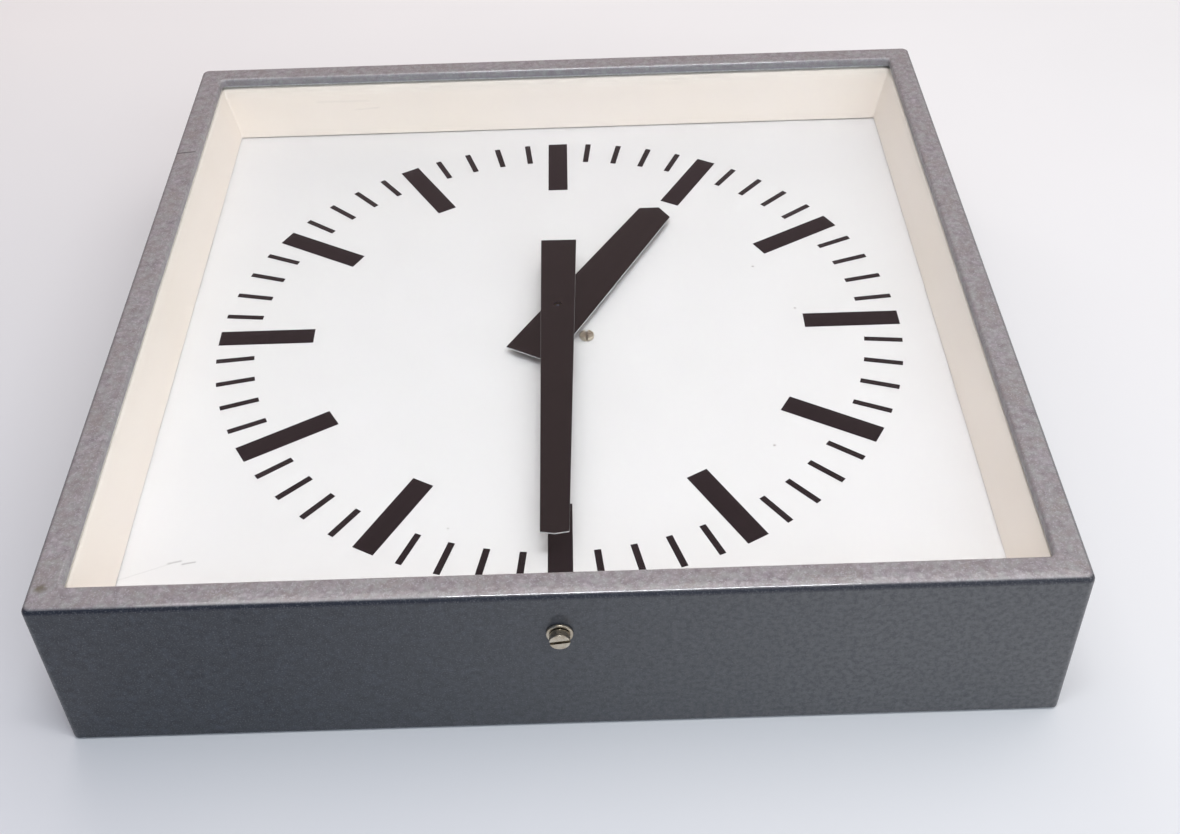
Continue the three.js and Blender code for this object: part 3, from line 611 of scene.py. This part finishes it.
DIAL_SCRATCHES = (
    ((-181, -154, 42.65), (-161, -146, 42.65), 0.5, 0.14),
    ((-162, -145.8, 42.65), (-157, -144.6, 42.65), 0.7, 0.45),
    ((-156, -146.4, 42.65), (-151, -145.4, 42.65), 0.7, 0.5),
)
LINER_SCUFFS = (
    ((-115, 185, 57), (-101, 185, 58), 0.7, 0.16),
    ((-136, 186, 62), (-107, 186, 62), 0.9, 0.1),
)

# Each enamel's colour, and its shade where it has aged.
CREAM = ((0.80, 0.722, 0.662), (0.78, 0.697, 0.617))
WHITE = ((0.67, 0.648, 0.649), (0.651, 0.629, 0.624))

MATERIALS = {
    "hammertone": hammertone(),
    "cream_enamel": enamel("cream_enamel", *CREAM, 0.5, LINER_SCUFFS),
    "white_enamel": enamel("white_enamel", *WHITE, 0.5, DIAL_SCRATCHES),
    "black_paint": matte_black("black_paint", (0.0075, 0.0045, 0.0045), 1200, bare_edge=True),
    "zinc_steel": spangled_zinc(),
    "nickel": metal("nickel", (0.66, 0.60, 0.49), (0.46, 0.38, 0.27), 0.3, (1, 6, 1)),
    "brass": metal("brass", (0.78, 0.58, 0.28), (0.52, 0.36, 0.16), 0.32, (1, 5, 1)),
    "laminated_iron": laminated("laminated_iron", (0.26, 0.27, 0.28), 0.5),
    "magnet": metal("magnet", (0.12, 0.12, 0.13), (0.08, 0.075, 0.07), 0.45),
    "copper_wire": wound_copper(),
    "bakelite": moulded("bakelite", (0.09, 0.045, 0.03), 0.35),
    "rubber": moulded("rubber", (0.02, 0.02, 0.02), 0.75),
    "lead_sleeve": moulded("lead_sleeve", (0.32, 0.06, 0.04), 0.7),
    "clear_glass": clear_glass(),
}
BLUED_STEEL = metal("blued_steel", (0.035, 0.035, 0.045), (0.02, 0.02, 0.022), 0.4, (1, 1, 6))
BLUED = ("centre_arbor", "intermediate_arbor", "rotor_arbor", "cannon_pinion", "motion_stud")
SPECIAL = {node: BLUED_STEEL for node in BLUED}
SPECIAL["glass_gasket"] = moulded("pale_rubber", (0.78, 0.77, 0.76), 0.6)
PRINT = matte_black("dial_print", (0.006, 0.003, 0.004), 2500)

# ------------------------------ screws and round parts

FLOOR = 1.8  # what stands on the back plate starts here
CASE_SCREW = {"head_r": 4.05, "head_h": 3.4, "shank_r": 2, "slot": (1.5, 2.2)}
DIAL_SCREW = {"head_r": 3.5, "head_h": 1.8, "shank_r": 1.5, "slot": (1.1, 1.3)}
PLATE_SCREW = {"head_r": 3.4, "head_h": 1.8, "shank_r": 0.7, "slot": (0.8, 0.9)}
TERMINAL_SCREW = {"head_r": 3.2, "head_h": 2, "shank_r": 1.2, "slot": (0.8, 1.0)}


def centre_of(node):
    low, high = size_mm(node)
    return (low[0] + high[0]) / 2, (low[1] + high[1]) / 2


def screw_body(name, z, *, head_r, head_h, shank_r, slot, slot_angle, at=(0, 0)):
    """A cheese head screw about a vertical axis, from z[0] to z[1]. `slot` is its width and depth."""
    end, top = z
    under = top - head_h
    edge, under_edge = 0.35, 0.15
    profile = [(0, end), (shank_r - 0.2, end), (shank_r, end + 0.3), (shank_r, under)]
    profile += [(head_r - under_edge, under), (head_r, under + under_edge)]
    profile += arc((head_r - edge, top - edge), edge, 0, 90, 4)
    profile.append((0, top))
    screw = turned(name, profile, (*at, 0), 48)
    width, depth = slot
    groove = bar("groove", -head_r - 1, head_r + 1, -width / 2, width / 2, top - depth, top + 1)
    cut(screw, shift(spin(groove, slot_angle), *at))
    soften(screw, 0.06, 2, 40)
    return screw


def upright_screw(node, **shape):
    low, high = size_mm(node)
    screw = screw_body(f"{node}_fine", (low[2], high[2]), at=centre_of(node), **shape)
    stands_for(screw, node, 40)


def round_part(node, profile, edge=0.25):
    """A turned part about its node's own centre, with its edges broken."""
    part = turned(f"{node}_turned", profile, (*centre_of(node), 0))
    soften(part, edge, 2, 40)
    stands_for(part, node)


def refined(node, edge, smooth_angle=35):
    """A copy of a CAD node's mesh with its flats made whole and its folds rounded."""
    bm = bmesh.new()
    bm.from_mesh(nodes[node].data)
    bmesh.ops.remove_doubles(bm, verts=bm.verts, dist=1e-6)
    bmesh.ops.dissolve_limit(bm, angle_limit=math.radians(1), verts=bm.verts, edges=bm.edges)
    part = placed(bm, f"{node}_fine")
    if edge:
        soften(part, edge)
    stands_for(part, node, smooth_angle)


# ------------------------------ cover

SHEET = 1.2
ARC_STEPS = 6
SCREW_HOLE_R = 3.6


def laid_down():
    """The turn that lays an upright part along -Y at the case screw's height."""
    low, high = size_mm("case_screw")
    height = (low[2] + high[2]) / 2
    return Matrix.Translation((0, 0, height * MM)) @ Matrix.Rotation(math.radians(90), 4, "X")


def case_shell():
    low, high = size_mm("case_shell")
    half, rear, front = high[0], low[2], high[2]
    open_half, lip_z = 187.5, 74.8
    corner_r, opening_r, edge_r, fold_r = 3.0, 3.0, 2.5, 1.6
    profile = [(half, rear + 0.3, corner_r), (half, front - edge_r, corner_r)]
    for h, z in arc((half - edge_r, front - edge_r), edge_r, 0, 90, ARC_STEPS)[1:]:
        profile.append((h, z, corner_r - (half - h) * 0.4))
    for h, z in arc((open_half + fold_r, front - fold_r), fold_r, 90, 180, ARC_STEPS):
        profile.append((h, z, opening_r + (h - open_half) * 0.3))
    profile += [(open_half, lip_z + 0.3, opening_r), (open_half + 0.3, lip_z, opening_r + 0.3)]
    behind_lip = opening_r + SHEET
    profile += [(open_half + SHEET, lip_z, behind_lip), (open_half + SHEET, front - SHEET, behind_lip)]
    inside, inner_fold = half - SHEET, 1.5
    profile.append((inside - inner_fold, front - SHEET, corner_r - 1))
    profile.append((inside, front - SHEET - inner_fold, corner_r - SHEET))
    profile += [(inside, rear + 0.3, corner_r - SHEET), (inside + 0.3, rear, corner_r - 0.9)]
    profile.append((half - 0.3, rear, corner_r - 0.3))
    shell = loft("case_shell_skin", [rounded_square(h, h, r, z, ARC_STEPS) for h, z, r in profile])
    hole = plug(SCREW_HOLE_R, half - 4, half + 4)
    hole.data.transform(laid_down())
    cut(shell, hole)
    stands_for(shell, "case_shell")


def square_plate(name, node, edge, corner_r):
    """A flat square as large as its node, with bevelled edges and round corners."""
    low, high = size_mm(node)
    z0, z1 = low[2], high[2]
    rings = []
    for inset, z in ((edge, z0), (0, z0 + edge), (0, z1 - edge), (edge, z1)):
        rings.append(rounded_square(high[0] - inset, high[1] - inset, corner_r, z, 4))
    return loft(name, rings, closed=False)


def glass_pane():
    """The pane, with ground edges. It casts no shadow, so that the light reaches the dial."""
    pane = square_plate("glass_pane_clear", "glass_pane", 0.5, 2)
    pane.visible_shadow = False
    stands_for(pane, "glass_pane")


def inner_liner():
    """Four sloping walls with mitred, softly folded corners and a flange under the glass."""
    low, high = size_mm("inner_liner")
    bottom, top, flange = 181.2, 187.9, high[0]
    z0, z1 = low[2], high[2]
    profile = [
        (bottom + 0.3, z0, 0.8),
        (bottom, z0 + 0.3, 0.8),
        (top - 0.25, z1 - 1.0, 1.2),
        (top + 0.4, z1, 1.2),
        (flange, z1, 1.5),
        (flange, z1 - 1, 1.5),
        (top + 0.8, z1 - 1, 1.4),
        (bottom + 1, z0 + 0.2, 1.0),
        (bottom + 0.8, z0, 1.0),
    ]
    liner = loft("liner_walls", [rounded_square(h, h, r, z, 4) for h, z, r in profile])
    stands_for(liner, "inner_liner", 50)


def case_screw():
    """The screw in the lower wall, its collar and its nut, drawn upright and laid down."""
    lay = laid_down()
    low, high = size_mm("case_screw")
    screw = screw_body("case_screw_fine", (-high[1], -low[1]), slot_angle=8, **CASE_SCREW)
    screw.data.transform(lay)
    stands_for(screw, "case_screw", 40)

    low, high = size_mm("screw_collar")
    front, back = -low[1], -high[1]
    profile = [(2.4, back), (3.3, back), (3.3, front - 1.2), (5.0, front - 1.2), (5.2, front - 1.0)]
    profile += arc((4.7, front - 0.5), 0.5, 0, 90, 4)
    profile += [(2.6, front), (2.4, front - 0.2)]
    collar = turned("screw_collar_fine", profile)
    collar.data.transform(lay)
    stands_for(collar, "screw_collar", 40)

    low, high = size_mm("clamp_nut")
    flat, bore_r = 4.5, 2.4
    nut = bar("clamp_nut_fine", -flat, flat, -flat, flat, -high[1], -low[1])
    cut(nut, plug(bore_r, -high[1] - 1, -low[1] + 1))
    soften(nut, 0.3, 2, 50)
    nut.data.transform(lay)
    stands_for(nut, "clamp_nut")


# ------------------------------ back plate and what stands on it


def back_plate():
    """A shallow pressed tray with two keyholes, a lower fixing hole and the cable's entry."""
    high = size_mm("back_plate")[1]
    half, height = high[0], high[2]
    sheet, flange, corner_r, fold, inner_fold = 1.5, 1.4, 3.0, 1.2, 0.5
    profile = []
    for h, z in arc((half - fold, fold), fold, -90, 0, ARC_STEPS):
        profile.append((h, z, corner_r - (half - h) * 0.8))
    inside = half - flange
    profile += [(half, height - 0.25, corner_r), (half - 0.25, height, corner_r - 0.25)]
    inside_r = corner_r - flange
    profile += [(inside + 0.25, height, inside_r + 0.25), (inside, height - 0.25, inside_r)]
    for h, z in arc((inside - inner_fold, sheet + inner_fold), inner_fold, 0, -90, 3):
        profile.append((h, z, inside_r - (inside - h) * 0.8))
    rings = [rounded_square(h, h, r, z, ARC_STEPS) for h, z, r in profile]
    plate = loft("back_plate_pressed", rings, closed=False)
    below, above = -1, 3
    cable_r, entry_r, run_r = 8, 6.5, 3.5
    holes = [plug(cable_r, below, above, 60, 45), plug(run_r, below, above, 0, -150)]
    for x in (-120, 120):
        holes.append(plug(entry_r, below, above, x, 140))
        holes.append(plug(run_r, below, above, x, 154))
        holes.append(bar("run", x - run_r, x + run_r, 142, 154, below, above))
    cut(plate, *holes)
    soften(plate, 0.2, 2, 50)
    stands_for(plate, "back_plate")


def dial_posts():
    for corner in range(1, 5):
        node = f"dial_post_{corner}"
        top = size_mm(node)[1][2]
        foot = [(0, FLOOR), (6, FLOOR), (6, FLOOR + 2), (3.5, FLOOR + 3)]
        seat = [(3.5, top - 2), (5, top - 1.5), (5, top), (0, top)]
        round_part(node, foot + seat)


# ------------------------------ dial

DIAL_SCREW_SLOTS = (70, 25, 90)  # how each slot is turned, in degrees
MARK_R = 164.35  # outer ends of the marks
HOUR_MARK = (45.75, 10.4)  # length and width
MINUTE_MARK = (18.1, 3.0)
INK = 0.06


def dial_plate():
    """The sheet dial, with holes for the hands' pipe and for its screws."""
    low, high = size_mm("dial_plate")
    plate = square_plate("dial_plate_fine", "dial_plate", 0.25, 3)
    holes = [plug(6.5, low[2] - 2, high[2] + 2)]
    for number in (1, 2, 3):
        holes.append(plug(1.9, low[2] - 2, high[2] + 2, *centre_of(f"dial_screw_{number}")))
    cut(plate, *holes)
    stands_for(plate, "dial_plate")


def dial_marks():
    """Sixty printed battens in one thin layer on the dial."""
    top = size_mm("dial_plate")[1][2]
    bm = bmesh.new()
    for minute in range(60):
        length, width = HOUR_MARK if minute % 5 == 0 else MINUTE_MARK
        turn = Matrix.Rotation(-2 * math.pi * minute / 60, 4, "Z")
        corners = [(-width / 2, MARK_R - length), (width / 2, MARK_R - length)]
        corners += [(width / 2, MARK_R), (-width / 2, MARK_R)]
        low = [bm.verts.new(turn @ Vector((x, y, top + 0.01))) for x, y in corners]
        high = [bm.verts.new(turn @ Vector((x, y, top + INK))) for x, y in corners]
        bm.faces.new(high)
        bm.faces.new(reversed(low))
        wall(bm, low, high)
    marks = piece_of(bm, "dial_marks")
    dress(marks, PRINT)
    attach(marks, "base")


def dial_fixings():
    """The dial's screws and the spacers under it."""
    for number, angle in enumerate(DIAL_SCREW_SLOTS, 1):
        upright_screw(f"dial_screw_{number}", slot_angle=angle, **DIAL_SCREW)
        node = f"dial_spacer_{number}"
        low, high = size_mm(node)
        round_part(node, [(1.9, low[2]), (3, low[2]), (3, high[2]), (1.9, high[2])])


# ------------------------------ movement frame

# Places from the hands' axis, across and up.
PILLARS = ((-55, 22), (25, 22), (12, -30))
INTERMEDIATE = (-24, 0)
ROTOR = (-24, -19.6)


def movement_plate(node, sink_z):
    """A brass plate with its pivot holes; the sinks on its outer face hold the oil."""
    low, high = size_mm(node)
    plate = slab(f"{node}_fine", rounded_rectangle(low, high, 6), low[2], high[2])
    soften(plate, 0.2, 2, 50)
    holes = [plug(2.5, low[2] - 1, high[2] + 1, *pillar) for pillar in PILLARS]
    out = 1 if sink_z > low[2] else -1
    inner_z, outer_z = sink_z - out * 5, sink_z + out * 0.2
    for (px, py), r in (((0, 0), 1.75), (INTERMEDIATE, 1.4), (ROTOR, 1.2)):
        sink = [(r, sink_z - out * 0.5), (r + 0.6, sink_z - out * 0.45), (r + 1.3, outer_z)]
        profile = [(0, inner_z), (r, inner_z), *sink, (0, outer_z)]
        holes.append(turned("pivot_hole", profile, (px, py, 0), 40))
    cut(plate, *holes)
    stands_for(plate, node)


def rounded_rectangle(low, high, r, steps=8):
    """The outline of a box seen from above, with round corners."""
    points = []
    left, right, near, far = low[0] + r, high[0] - r, low[1] + r, high[1] - r
    corners = ((right, far), (left, far), (left, near), (right, near))
    for quarter, corner in enumerate(corners):
        points += arc(corner, r, 90 * quarter, 90 * quarter + 90, steps)
    return points


def movement_frame():
    """Two plates, three pillars between them and the screws on top."""
    movement_plate("movement_rear_plate", size_mm("movement_rear_plate")[0][2])
    movement_plate("movement_front_plate", size_mm("movement_front_plate")[1][2])
    for number in (1, 2, 3):
        node = f"movement_pillar_{number}"
        top = size_mm(node)[1][2]
        shoulder, foot_r, neck_r, thread_r, thread_depth = 7.7, 4, 2.2, 0.9, 6
        profile = [(0, FLOOR), (foot_r, FLOOR), (foot_r, shoulder), (neck_r, shoulder), (neck_r, top)]
        profile += [(thread_r, top), (thread_r, top - thread_depth), (0, top - thread_depth)]
        round_part(node, profile, 0.2)
        upright_screw(f"plate_screw_{number}", slot_angle=40 * (number - 1), **PLATE_SCREW)


# ------------------------------ impulse motor

LAMINATION = 0.5  # from one sheet to the next
SHEET_SHARE = 0.94  # how much of that is iron


def stack_up(sheet, count):
    """Repeats one thin sheet upwards, a lamination apart."""
    modifier = sheet.modifiers.new("stack", "ARRAY")
    modifier.count = count
    modifier.use_relative_offset = False
    modifier.use_constant_offset = True
    modifier.constant_offset_displace = (0, 0, LAMINATION * MM)
    settle(sheet)


def pole_piece(node, side):
    """Half of the stator: a leg from the coil and a toe that hugs the rotor."""
    low, high = size_mm(node)
    x, y = ROTOR
    outer, inner, toe = x + side * 26, x + side * 18, x + side * 1.4
    foot, shoulder, top = low[1], y - 9, high[1]
    outline = [(outer, foot), (inner, foot), (inner, shoulder)]
    outline += [(toe, shoulder), (toe, top), (outer, top)]
    sheet = slab(f"{node}_laminated", outline, low[2], low[2] + LAMINATION * SHEET_SHARE)
    rotor_gap_r = 7.6
    cut(sheet, plug(rotor_gap_r, low[2] - 1, high[2] + 1, x, y, 64))
    soften(sheet, 0.05, 1, 50)
    stack_up(sheet, round((high[2] - low[2]) / LAMINATION))
    stands_for(sheet, node)


def coil_core():
    low, high = size_mm("coil_core")
    outline = rounded_rectangle(low, high, 0.6, 3)
    sheet = slab("coil_core_laminated", outline, low[2], low[2] + LAMINATION * SHEET_SHARE)
    soften(sheet, 0.05, 1, 50)
    stack_up(sheet, round((high[2] - low[2]) / LAMINATION))
    stands_for(sheet, "coil_core")


def coil_bobbin():
    """A square tube with a cheek at each end, drawn upright and laid along X."""
    low, high = size_mm("coil_bobbin")
    x, y, z = ((low[i] + high[i]) / 2 for i in range(3))
    half_length, half = (high[0] - low[0]) / 2, (high[1] - low[1]) / 2
    cheek = 1.6
    wide, deep, thickness = 6.4, 3.4, 1.1
    bobbin = bar("coil_bobbin_fine", -wide, wide, -deep, deep, -half_length, half_length)
    square = rounded_rectangle((-half, -half), (half, half), 0.8, 4)
    ends = [slab("cheek", square, z0, z0 + cheek) for z0 in (-half_length, half_length - cheek)]
    fuse(bobbin, *ends)
    bore_x, bore_y, past = wide - thickness, deep - thickness, half_length + 1
    cut(bobbin, bar("bore", -bore_x, bore_x, -bore_y, bore_y, -past, past))
    soften(bobbin, 0.25, 2, 40)
    spin(spin(bobbin, 90), 90, "Y")
    shift(bobbin, x, y, z)
    stands_for(bobbin, "coil_bobbin")


def coil_winding():
    """Close turns of wire: the outer skin is a row of fine ripples round the coil's axis."""
    low, high = size_mm("coil_winding")
    x, y, z = ((low[i] + high[i]) / 2 for i in range(3))
    half_length, half = (high[0] - low[0]) / 2, (high[1] - low[1]) / 2
    pitch, ripple, steps = 0.62, 0.09, 4
    count = round(2 * half_length / pitch) * steps
    rings = []
    for i in range(count + 1):
        at = -half_length + 2 * half_length * i / count
        swell = half - ripple * (1 + math.cos(2 * math.pi * i / steps))
        rings.append(rounded_square(swell, swell, 3, at, 4))
    rings.append(rounded_square(3.7, 6.7, 0.5, half_length, 4))
    rings.append(rounded_square(3.7, 6.7, 0.5, -half_length, 4))
    winding = loft("coil_winding_turns", rings)
    shift(spin(winding, 90, "Y"), x, y, z)
    stands_for(winding, "coil_winding", 60)


def impulse_motor():
    pole_piece("stator_pole_left", -1)
    pole_piece("stator_pole_right", 1)
    coil_core()
    coil_bobbin()
    coil_winding()
    low, high = size_mm("rotor_magnet")
    round_part("rotor_magnet", [(1.2, low[2]), (6.5, low[2]), (6.5, high[2]), (1.2, high[2])], 0.35)


# ------------------------------ gears

PRESSURE_ANGLE = math.radians(20)
BACKLASH = 0.16  # of a tooth's width, taken off each flank
WHEEL, PINION = 0.75, 0.85  # addendum, in modules
DEDENDUM = 1.15  # in modules
DRIVE, ROTOR_DRIVE, MOTION_DRIVE = 0.8, 0.7, 0.6  # modules, in millimetres


def involute(angle):
    return math.tan(angle) - angle


def tooth_half_angle(teeth, module, r):
    """Half of the angle that a tooth spans at a radius."""
    base_r = teeth * module / 2 * math.cos(PRESSURE_ANGLE)
    flank = involute(math.acos(base_r / r)) if r > base_r else 0
    return math.pi / (2 * teeth) * (1 - 2 * BACKLASH) + involute(PRESSURE_ANGLE) - flank


def gear_outline(teeth, module, addendum, steps=5):
    """Involute teeth, the first one centred on +X."""
    pitch_r = teeth * module / 2
    root_r, tip_r = pitch_r - DEDENDUM * module, pitch_r + addendum * module
    radii = [root_r + (tip_r - root_r) * i / steps for i in range(steps + 1)]
    points = []
    for tooth in range(teeth):
        centre = 2 * math.pi * tooth / teeth
        rising = [(r, centre - tooth_half_angle(teeth, module, r)) for r in radii]
        falling = [(r, 2 * centre - a) for r, a in reversed(rising)]
        points += [(r * math.cos(a), r * math.sin(a)) for r, a in rising + [(tip_r, centre)] + falling]
    return points


def toothed(name, teeth, module, addendum, z0, z1):
    return slab(name, gear_outline(teeth, module, addendum), z0, z1)


def mesh_turn(known_teeth, known_turn, driven_teeth, direction):
    """The turn that sets the driven gear's teeth in the gaps of a known one, in radians."""
    pitches = (direction - known_turn) * known_teeth / (2 * math.pi)
    return direction + math.pi - (0.5 - pitches) * 2 * math.pi / driven_teeth


def spoked_wheel(node, teeth, module, z, *, hub_r, bore_r, rim_r, spokes=5, spoke=2.6):
    """A brass wheel with arms, on a hub as tall as its node."""
    low, high = size_mm(node)
    wheel = toothed(f"{node}_fine", teeth, module, WHEEL, *z)
    windows = []
    inner_r = hub_r + 1
    for i in range(spokes):
        start, end = 360 * i / spokes, 360 * (i + 1) / spokes
        outer_off, inner_off = (math.degrees(spoke / 2 / r) for r in (rim_r, inner_r))
        outline = arc((0, 0), rim_r, start + outer_off, end - outer_off, 12)
        outline += arc((0, 0), inner_r, end - inner_off, start + inner_off, 6)
        windows.append(slab("window", outline, z[0] - 1, z[1] + 1))
    cut(wheel, *windows)
    fuse(wheel, plug(hub_r, low[2], high[2]))
    cut(wheel, plug(bore_r, low[2] - 1, high[2] + 1))
    shift(wheel, *centre_of(node))
    stands_for(wheel, node)


def leafed_arbor(node, r, teeth, module, z, turn):
    """An arbor cut with a pinion between two heights."""
    low, high = size_mm(node)
    bottom, top = low[2], high[2]
    profile = [(0, bottom), (r - 0.2, bottom), (r, bottom + 0.4)]
    profile += [(r, top - 0.4), (r - 0.2, top), (0, top)]
    arbor = turned(f"{node}_fine", profile, segments=40)
    fuse(arbor, toothed("pinion", teeth, module, PINION, *z))
    shift(spin(arbor, math.degrees(turn)), *centre_of(node))
    stands_for(arbor, node)


def piped_gear(node, gears, bore_r, turn, pipe_r=0.0):
    """Toothed rings on one pipe, from (teeth, addendum, z0, z1) rows, about the node's own centre."""
    low, high = size_mm(node)
    teeth, addendum, z0, z1 = gears[0]
    piece = toothed(f"{node}_fine", teeth, MOTION_DRIVE, addendum, z0, z1)
    more = []
    for other_teeth, other_addendum, bottom, top in gears[1:]:
        more.append(toothed("ring", other_teeth, MOTION_DRIVE, other_addendum, bottom, top))
    if pipe_r:
        more.append(plug(pipe_r, z0 + 0.2, high[2], segments=48))
    if more:
        fuse(piece, *more)
    cut(piece, plug(bore_r, low[2] - 1, high[2] + 1, segments=48))
    shift(spin(piece, math.degrees(turn)), *centre_of(node))
    stands_for(piece, node)


def gear_train():
    """The 30 to 1 train between the plates, from the rotor to the centre wheel."""
    low, high = size_mm("centre_arbor")
    ends = [(0, low[2]), (1.4, low[2]), (1.4, high[2]), (0.6, high[2]), (0, high[2] - 0.6)]
    round_part("centre_arbor", ends, 0.2)
    spoked_wheel("centre_wheel", 50, DRIVE, (26.5, 28.5), hub_r=3.6, bore_r=1.7, rim_r=16.8)
    spoked_wheel("intermediate_wheel", 48, ROTOR_DRIVE, (21, 22.6), hub_r=3, bore_r=1.4, rim_r=13.9)
    leafed_arbor("intermediate_arbor", 1.1, 10, DRIVE, (25.3, 29.6), mesh_turn(50, 0, 10, math.pi))
    leafed_arbor("rotor_arbor", 0.9, 8, ROTOR_DRIVE, (20.2, 23.6), mesh_turn(48, 0, 8, -math.pi / 2))


def motion_work():
    """The 12 to 1 train below the dial, from the cannon pinion to the hour wheel."""
    down = -math.pi / 2
    wheel_turn = mesh_turn(10, down, 30, down)
    piped_gear("cannon_pinion", [(10, PINION, 34.2, 36.8)], 1.7, down, pipe_r=2.4)
    piped_gear("motion_wheel", [(30, WHEEL, 34.8, 36.3), (8, PINION, 35.5, 39.3)], 1.1, wheel_turn)
    hour_turn = mesh_turn(8, wheel_turn, 32, -down)
    piped_gear("hour_wheel", [(32, WHEEL, 37.2, 38.7)], 2.75, hour_turn, pipe_r=3.6)
    low, high = size_mm("motion_stud")
    profile = [(0, low[2]), (2.6, low[2]), (2.6, 34.4), (0.8, 34.4), (0.8, high[2]), (0, high[2])]
    round_part("motion_stud", profile, 0.12)


# ------------------------------ hands

MINUTE_OUTLINE = [(-8.85, -52), (8.85, -52), (6, 148.5), (0, 149.5), (-6, 148.5)]
HOUR_OUTLINE = [(-12.4, -28.5), (12.4, -28.5), (11.5, 13.3), (9.1, 101.6), (0, 106.8)]
HOUR_OUTLINE += [(-9.1, 101.6), (-11.5, 13.3)]


def hand(node, outline, degrees, bore_r):
    """A sheet blade drawn pointing up the dial and turned to its time."""
    low, high = size_mm(node)
    blade = slab(f"{node}_blade", outline, low[2], high[2])
    cut(blade, plug(bore_r, low[2] - 1, high[2] + 1))
    soften(blade, 0.4, 3)
    spin(blade, degrees)
    stands_for(blade, node)


def bush(node, hub_r, neck_r, bore_r, hub_h):
    """The collar riveted to a hand, with a wider head on the blade."""
    low, high = size_mm(node)
    z0, z1 = low[2], high[2]
    under = z1 - hub_h
    profile = [(bore_r, z0), (neck_r, z0), (neck_r, under), (hub_r, under), (hub_r, z1), (bore_r, z1)]
    round_part(node, profile, 0.2)


# ------------------------------ the pieces, in order

case_shell()
glass_pane()
inner_liner()
case_screw()
refined("glass_gasket", 0)
for side in (1, 2, 3, 4):
    refined(f"liner_clip_{side}", 0.3)
for side in ("left", "right"):
    refined(f"hanging_hook_{side}", 0.35)

back_plate()
refined("latch_bracket", 0.35)
GROMMET = [(5, 0.2), (7.7, 0.2), (7.7, 1.8), (11, 1.8), (10.2, 4.2), (5, 4.2)]
round_part("cable_grommet", GROMMET, 0.5)
dial_posts()
dial_plate()
dial_marks()
dial_fixings()

movement_frame()
impulse_motor()
refined("terminal_block", 0.4)
for number in (1, 2):
    upright_screw(f"terminal_screw_{number}", slot_angle=70 * number - 40, **TERMINAL_SCREW)
    refined(f"coil_lead_{number}", 0, 60)

gear_train()
motion_work()
hand("minute_hand", MINUTE_OUTLINE, -180.7, 1.7)
hand("hour_hand", HOUR_OUTLINE, -30, 3.9)
bush("minute_hand_bush", 7.4, 4.4, 2.7, 1.2)
bush("hour_hand_bush", 9, 5.4, 3.9, 1.2)

# ------------------------------ stage


def lay_floor():
    """Pale paper, painted cooler and darker towards the front left as painted light falloff."""
    bm = bmesh.new()
    reach = 6000
    corners = ((-reach, -reach), (reach, -reach), (reach, reach), (-reach, reach))
    bm.faces.new([bm.verts.new((x, y, -FLOOR_GAP)) for x, y in corners])
    floor = piece_of(bm, "floor")
    paper = Finish("paper", (0.80, 0.79, 0.785), 0.7, Specular_IOR_Level=0.2)
    # Painted light falloff: darker and bluer towards the front, paler towards the back and right.
    back = paper.ramp(paper.along(paper.place, "Y"), -0.45, 0.4)
    right = paper.ramp(paper.along(paper.place, "X"), -0.4, 0.4, 0, 0.8)
    painted_falloff = paper.mixed(back, (0.605, 0.635, 0.69), (0.93, 0.89, 0.87))
    painted_falloff = paper.mixed(right, painted_falloff, (0.92, 0.912, 0.90))
    patches = paper.ramp(paper.noise(5, 2), 0.4, 0.6, 0, 0.15)
    paper.colour(paper.mixed(patches, painted_falloff, (0.83, 0.82, 0.81)))
    floor.data.materials.append(paper.material)


lay_floor()
place_camera()
room_glow(
    front=(0.15, 0.18, 0.23),
    back=(0.25, 0.185, 0.19),
    right=(0.40, 0.39, 0.39),
    backdrop=(0.3, 0.3, 0.31),
)
softbox("ceiling", (0.46, 0.25, 1.6), (0.46, 0.25, 0), (2.2, 1.68), 15.4, (1.0, 0.965, 0.945))
softbox("lamp", (0.08, -0.38, 1.5), (0.08, -0.3, 0), (0.55, 0.06), 5.5, (0.93, 0.96, 1.0))
softbox("front", (0.6, -1.45, 1.0), (0.1, -0.2, 0), (1.2, 0.8), 9.5, (0.78, 0.89, 1.0), mirrored=False)
softbox("window", (1.2, -0.7, 0.8), (0.1, 0, 0), (0.5, 0.5), 1.2, (0.95, 0.97, 1.0))
softbox("back", (-0.55, 1.9, 1.15), (0, 0.1, 0), (1.4, 0.7), 9, (1.0, 0.94, 0.92), mirrored=False)
bpy.context.scene.view_settings.view_transform = "Standard"
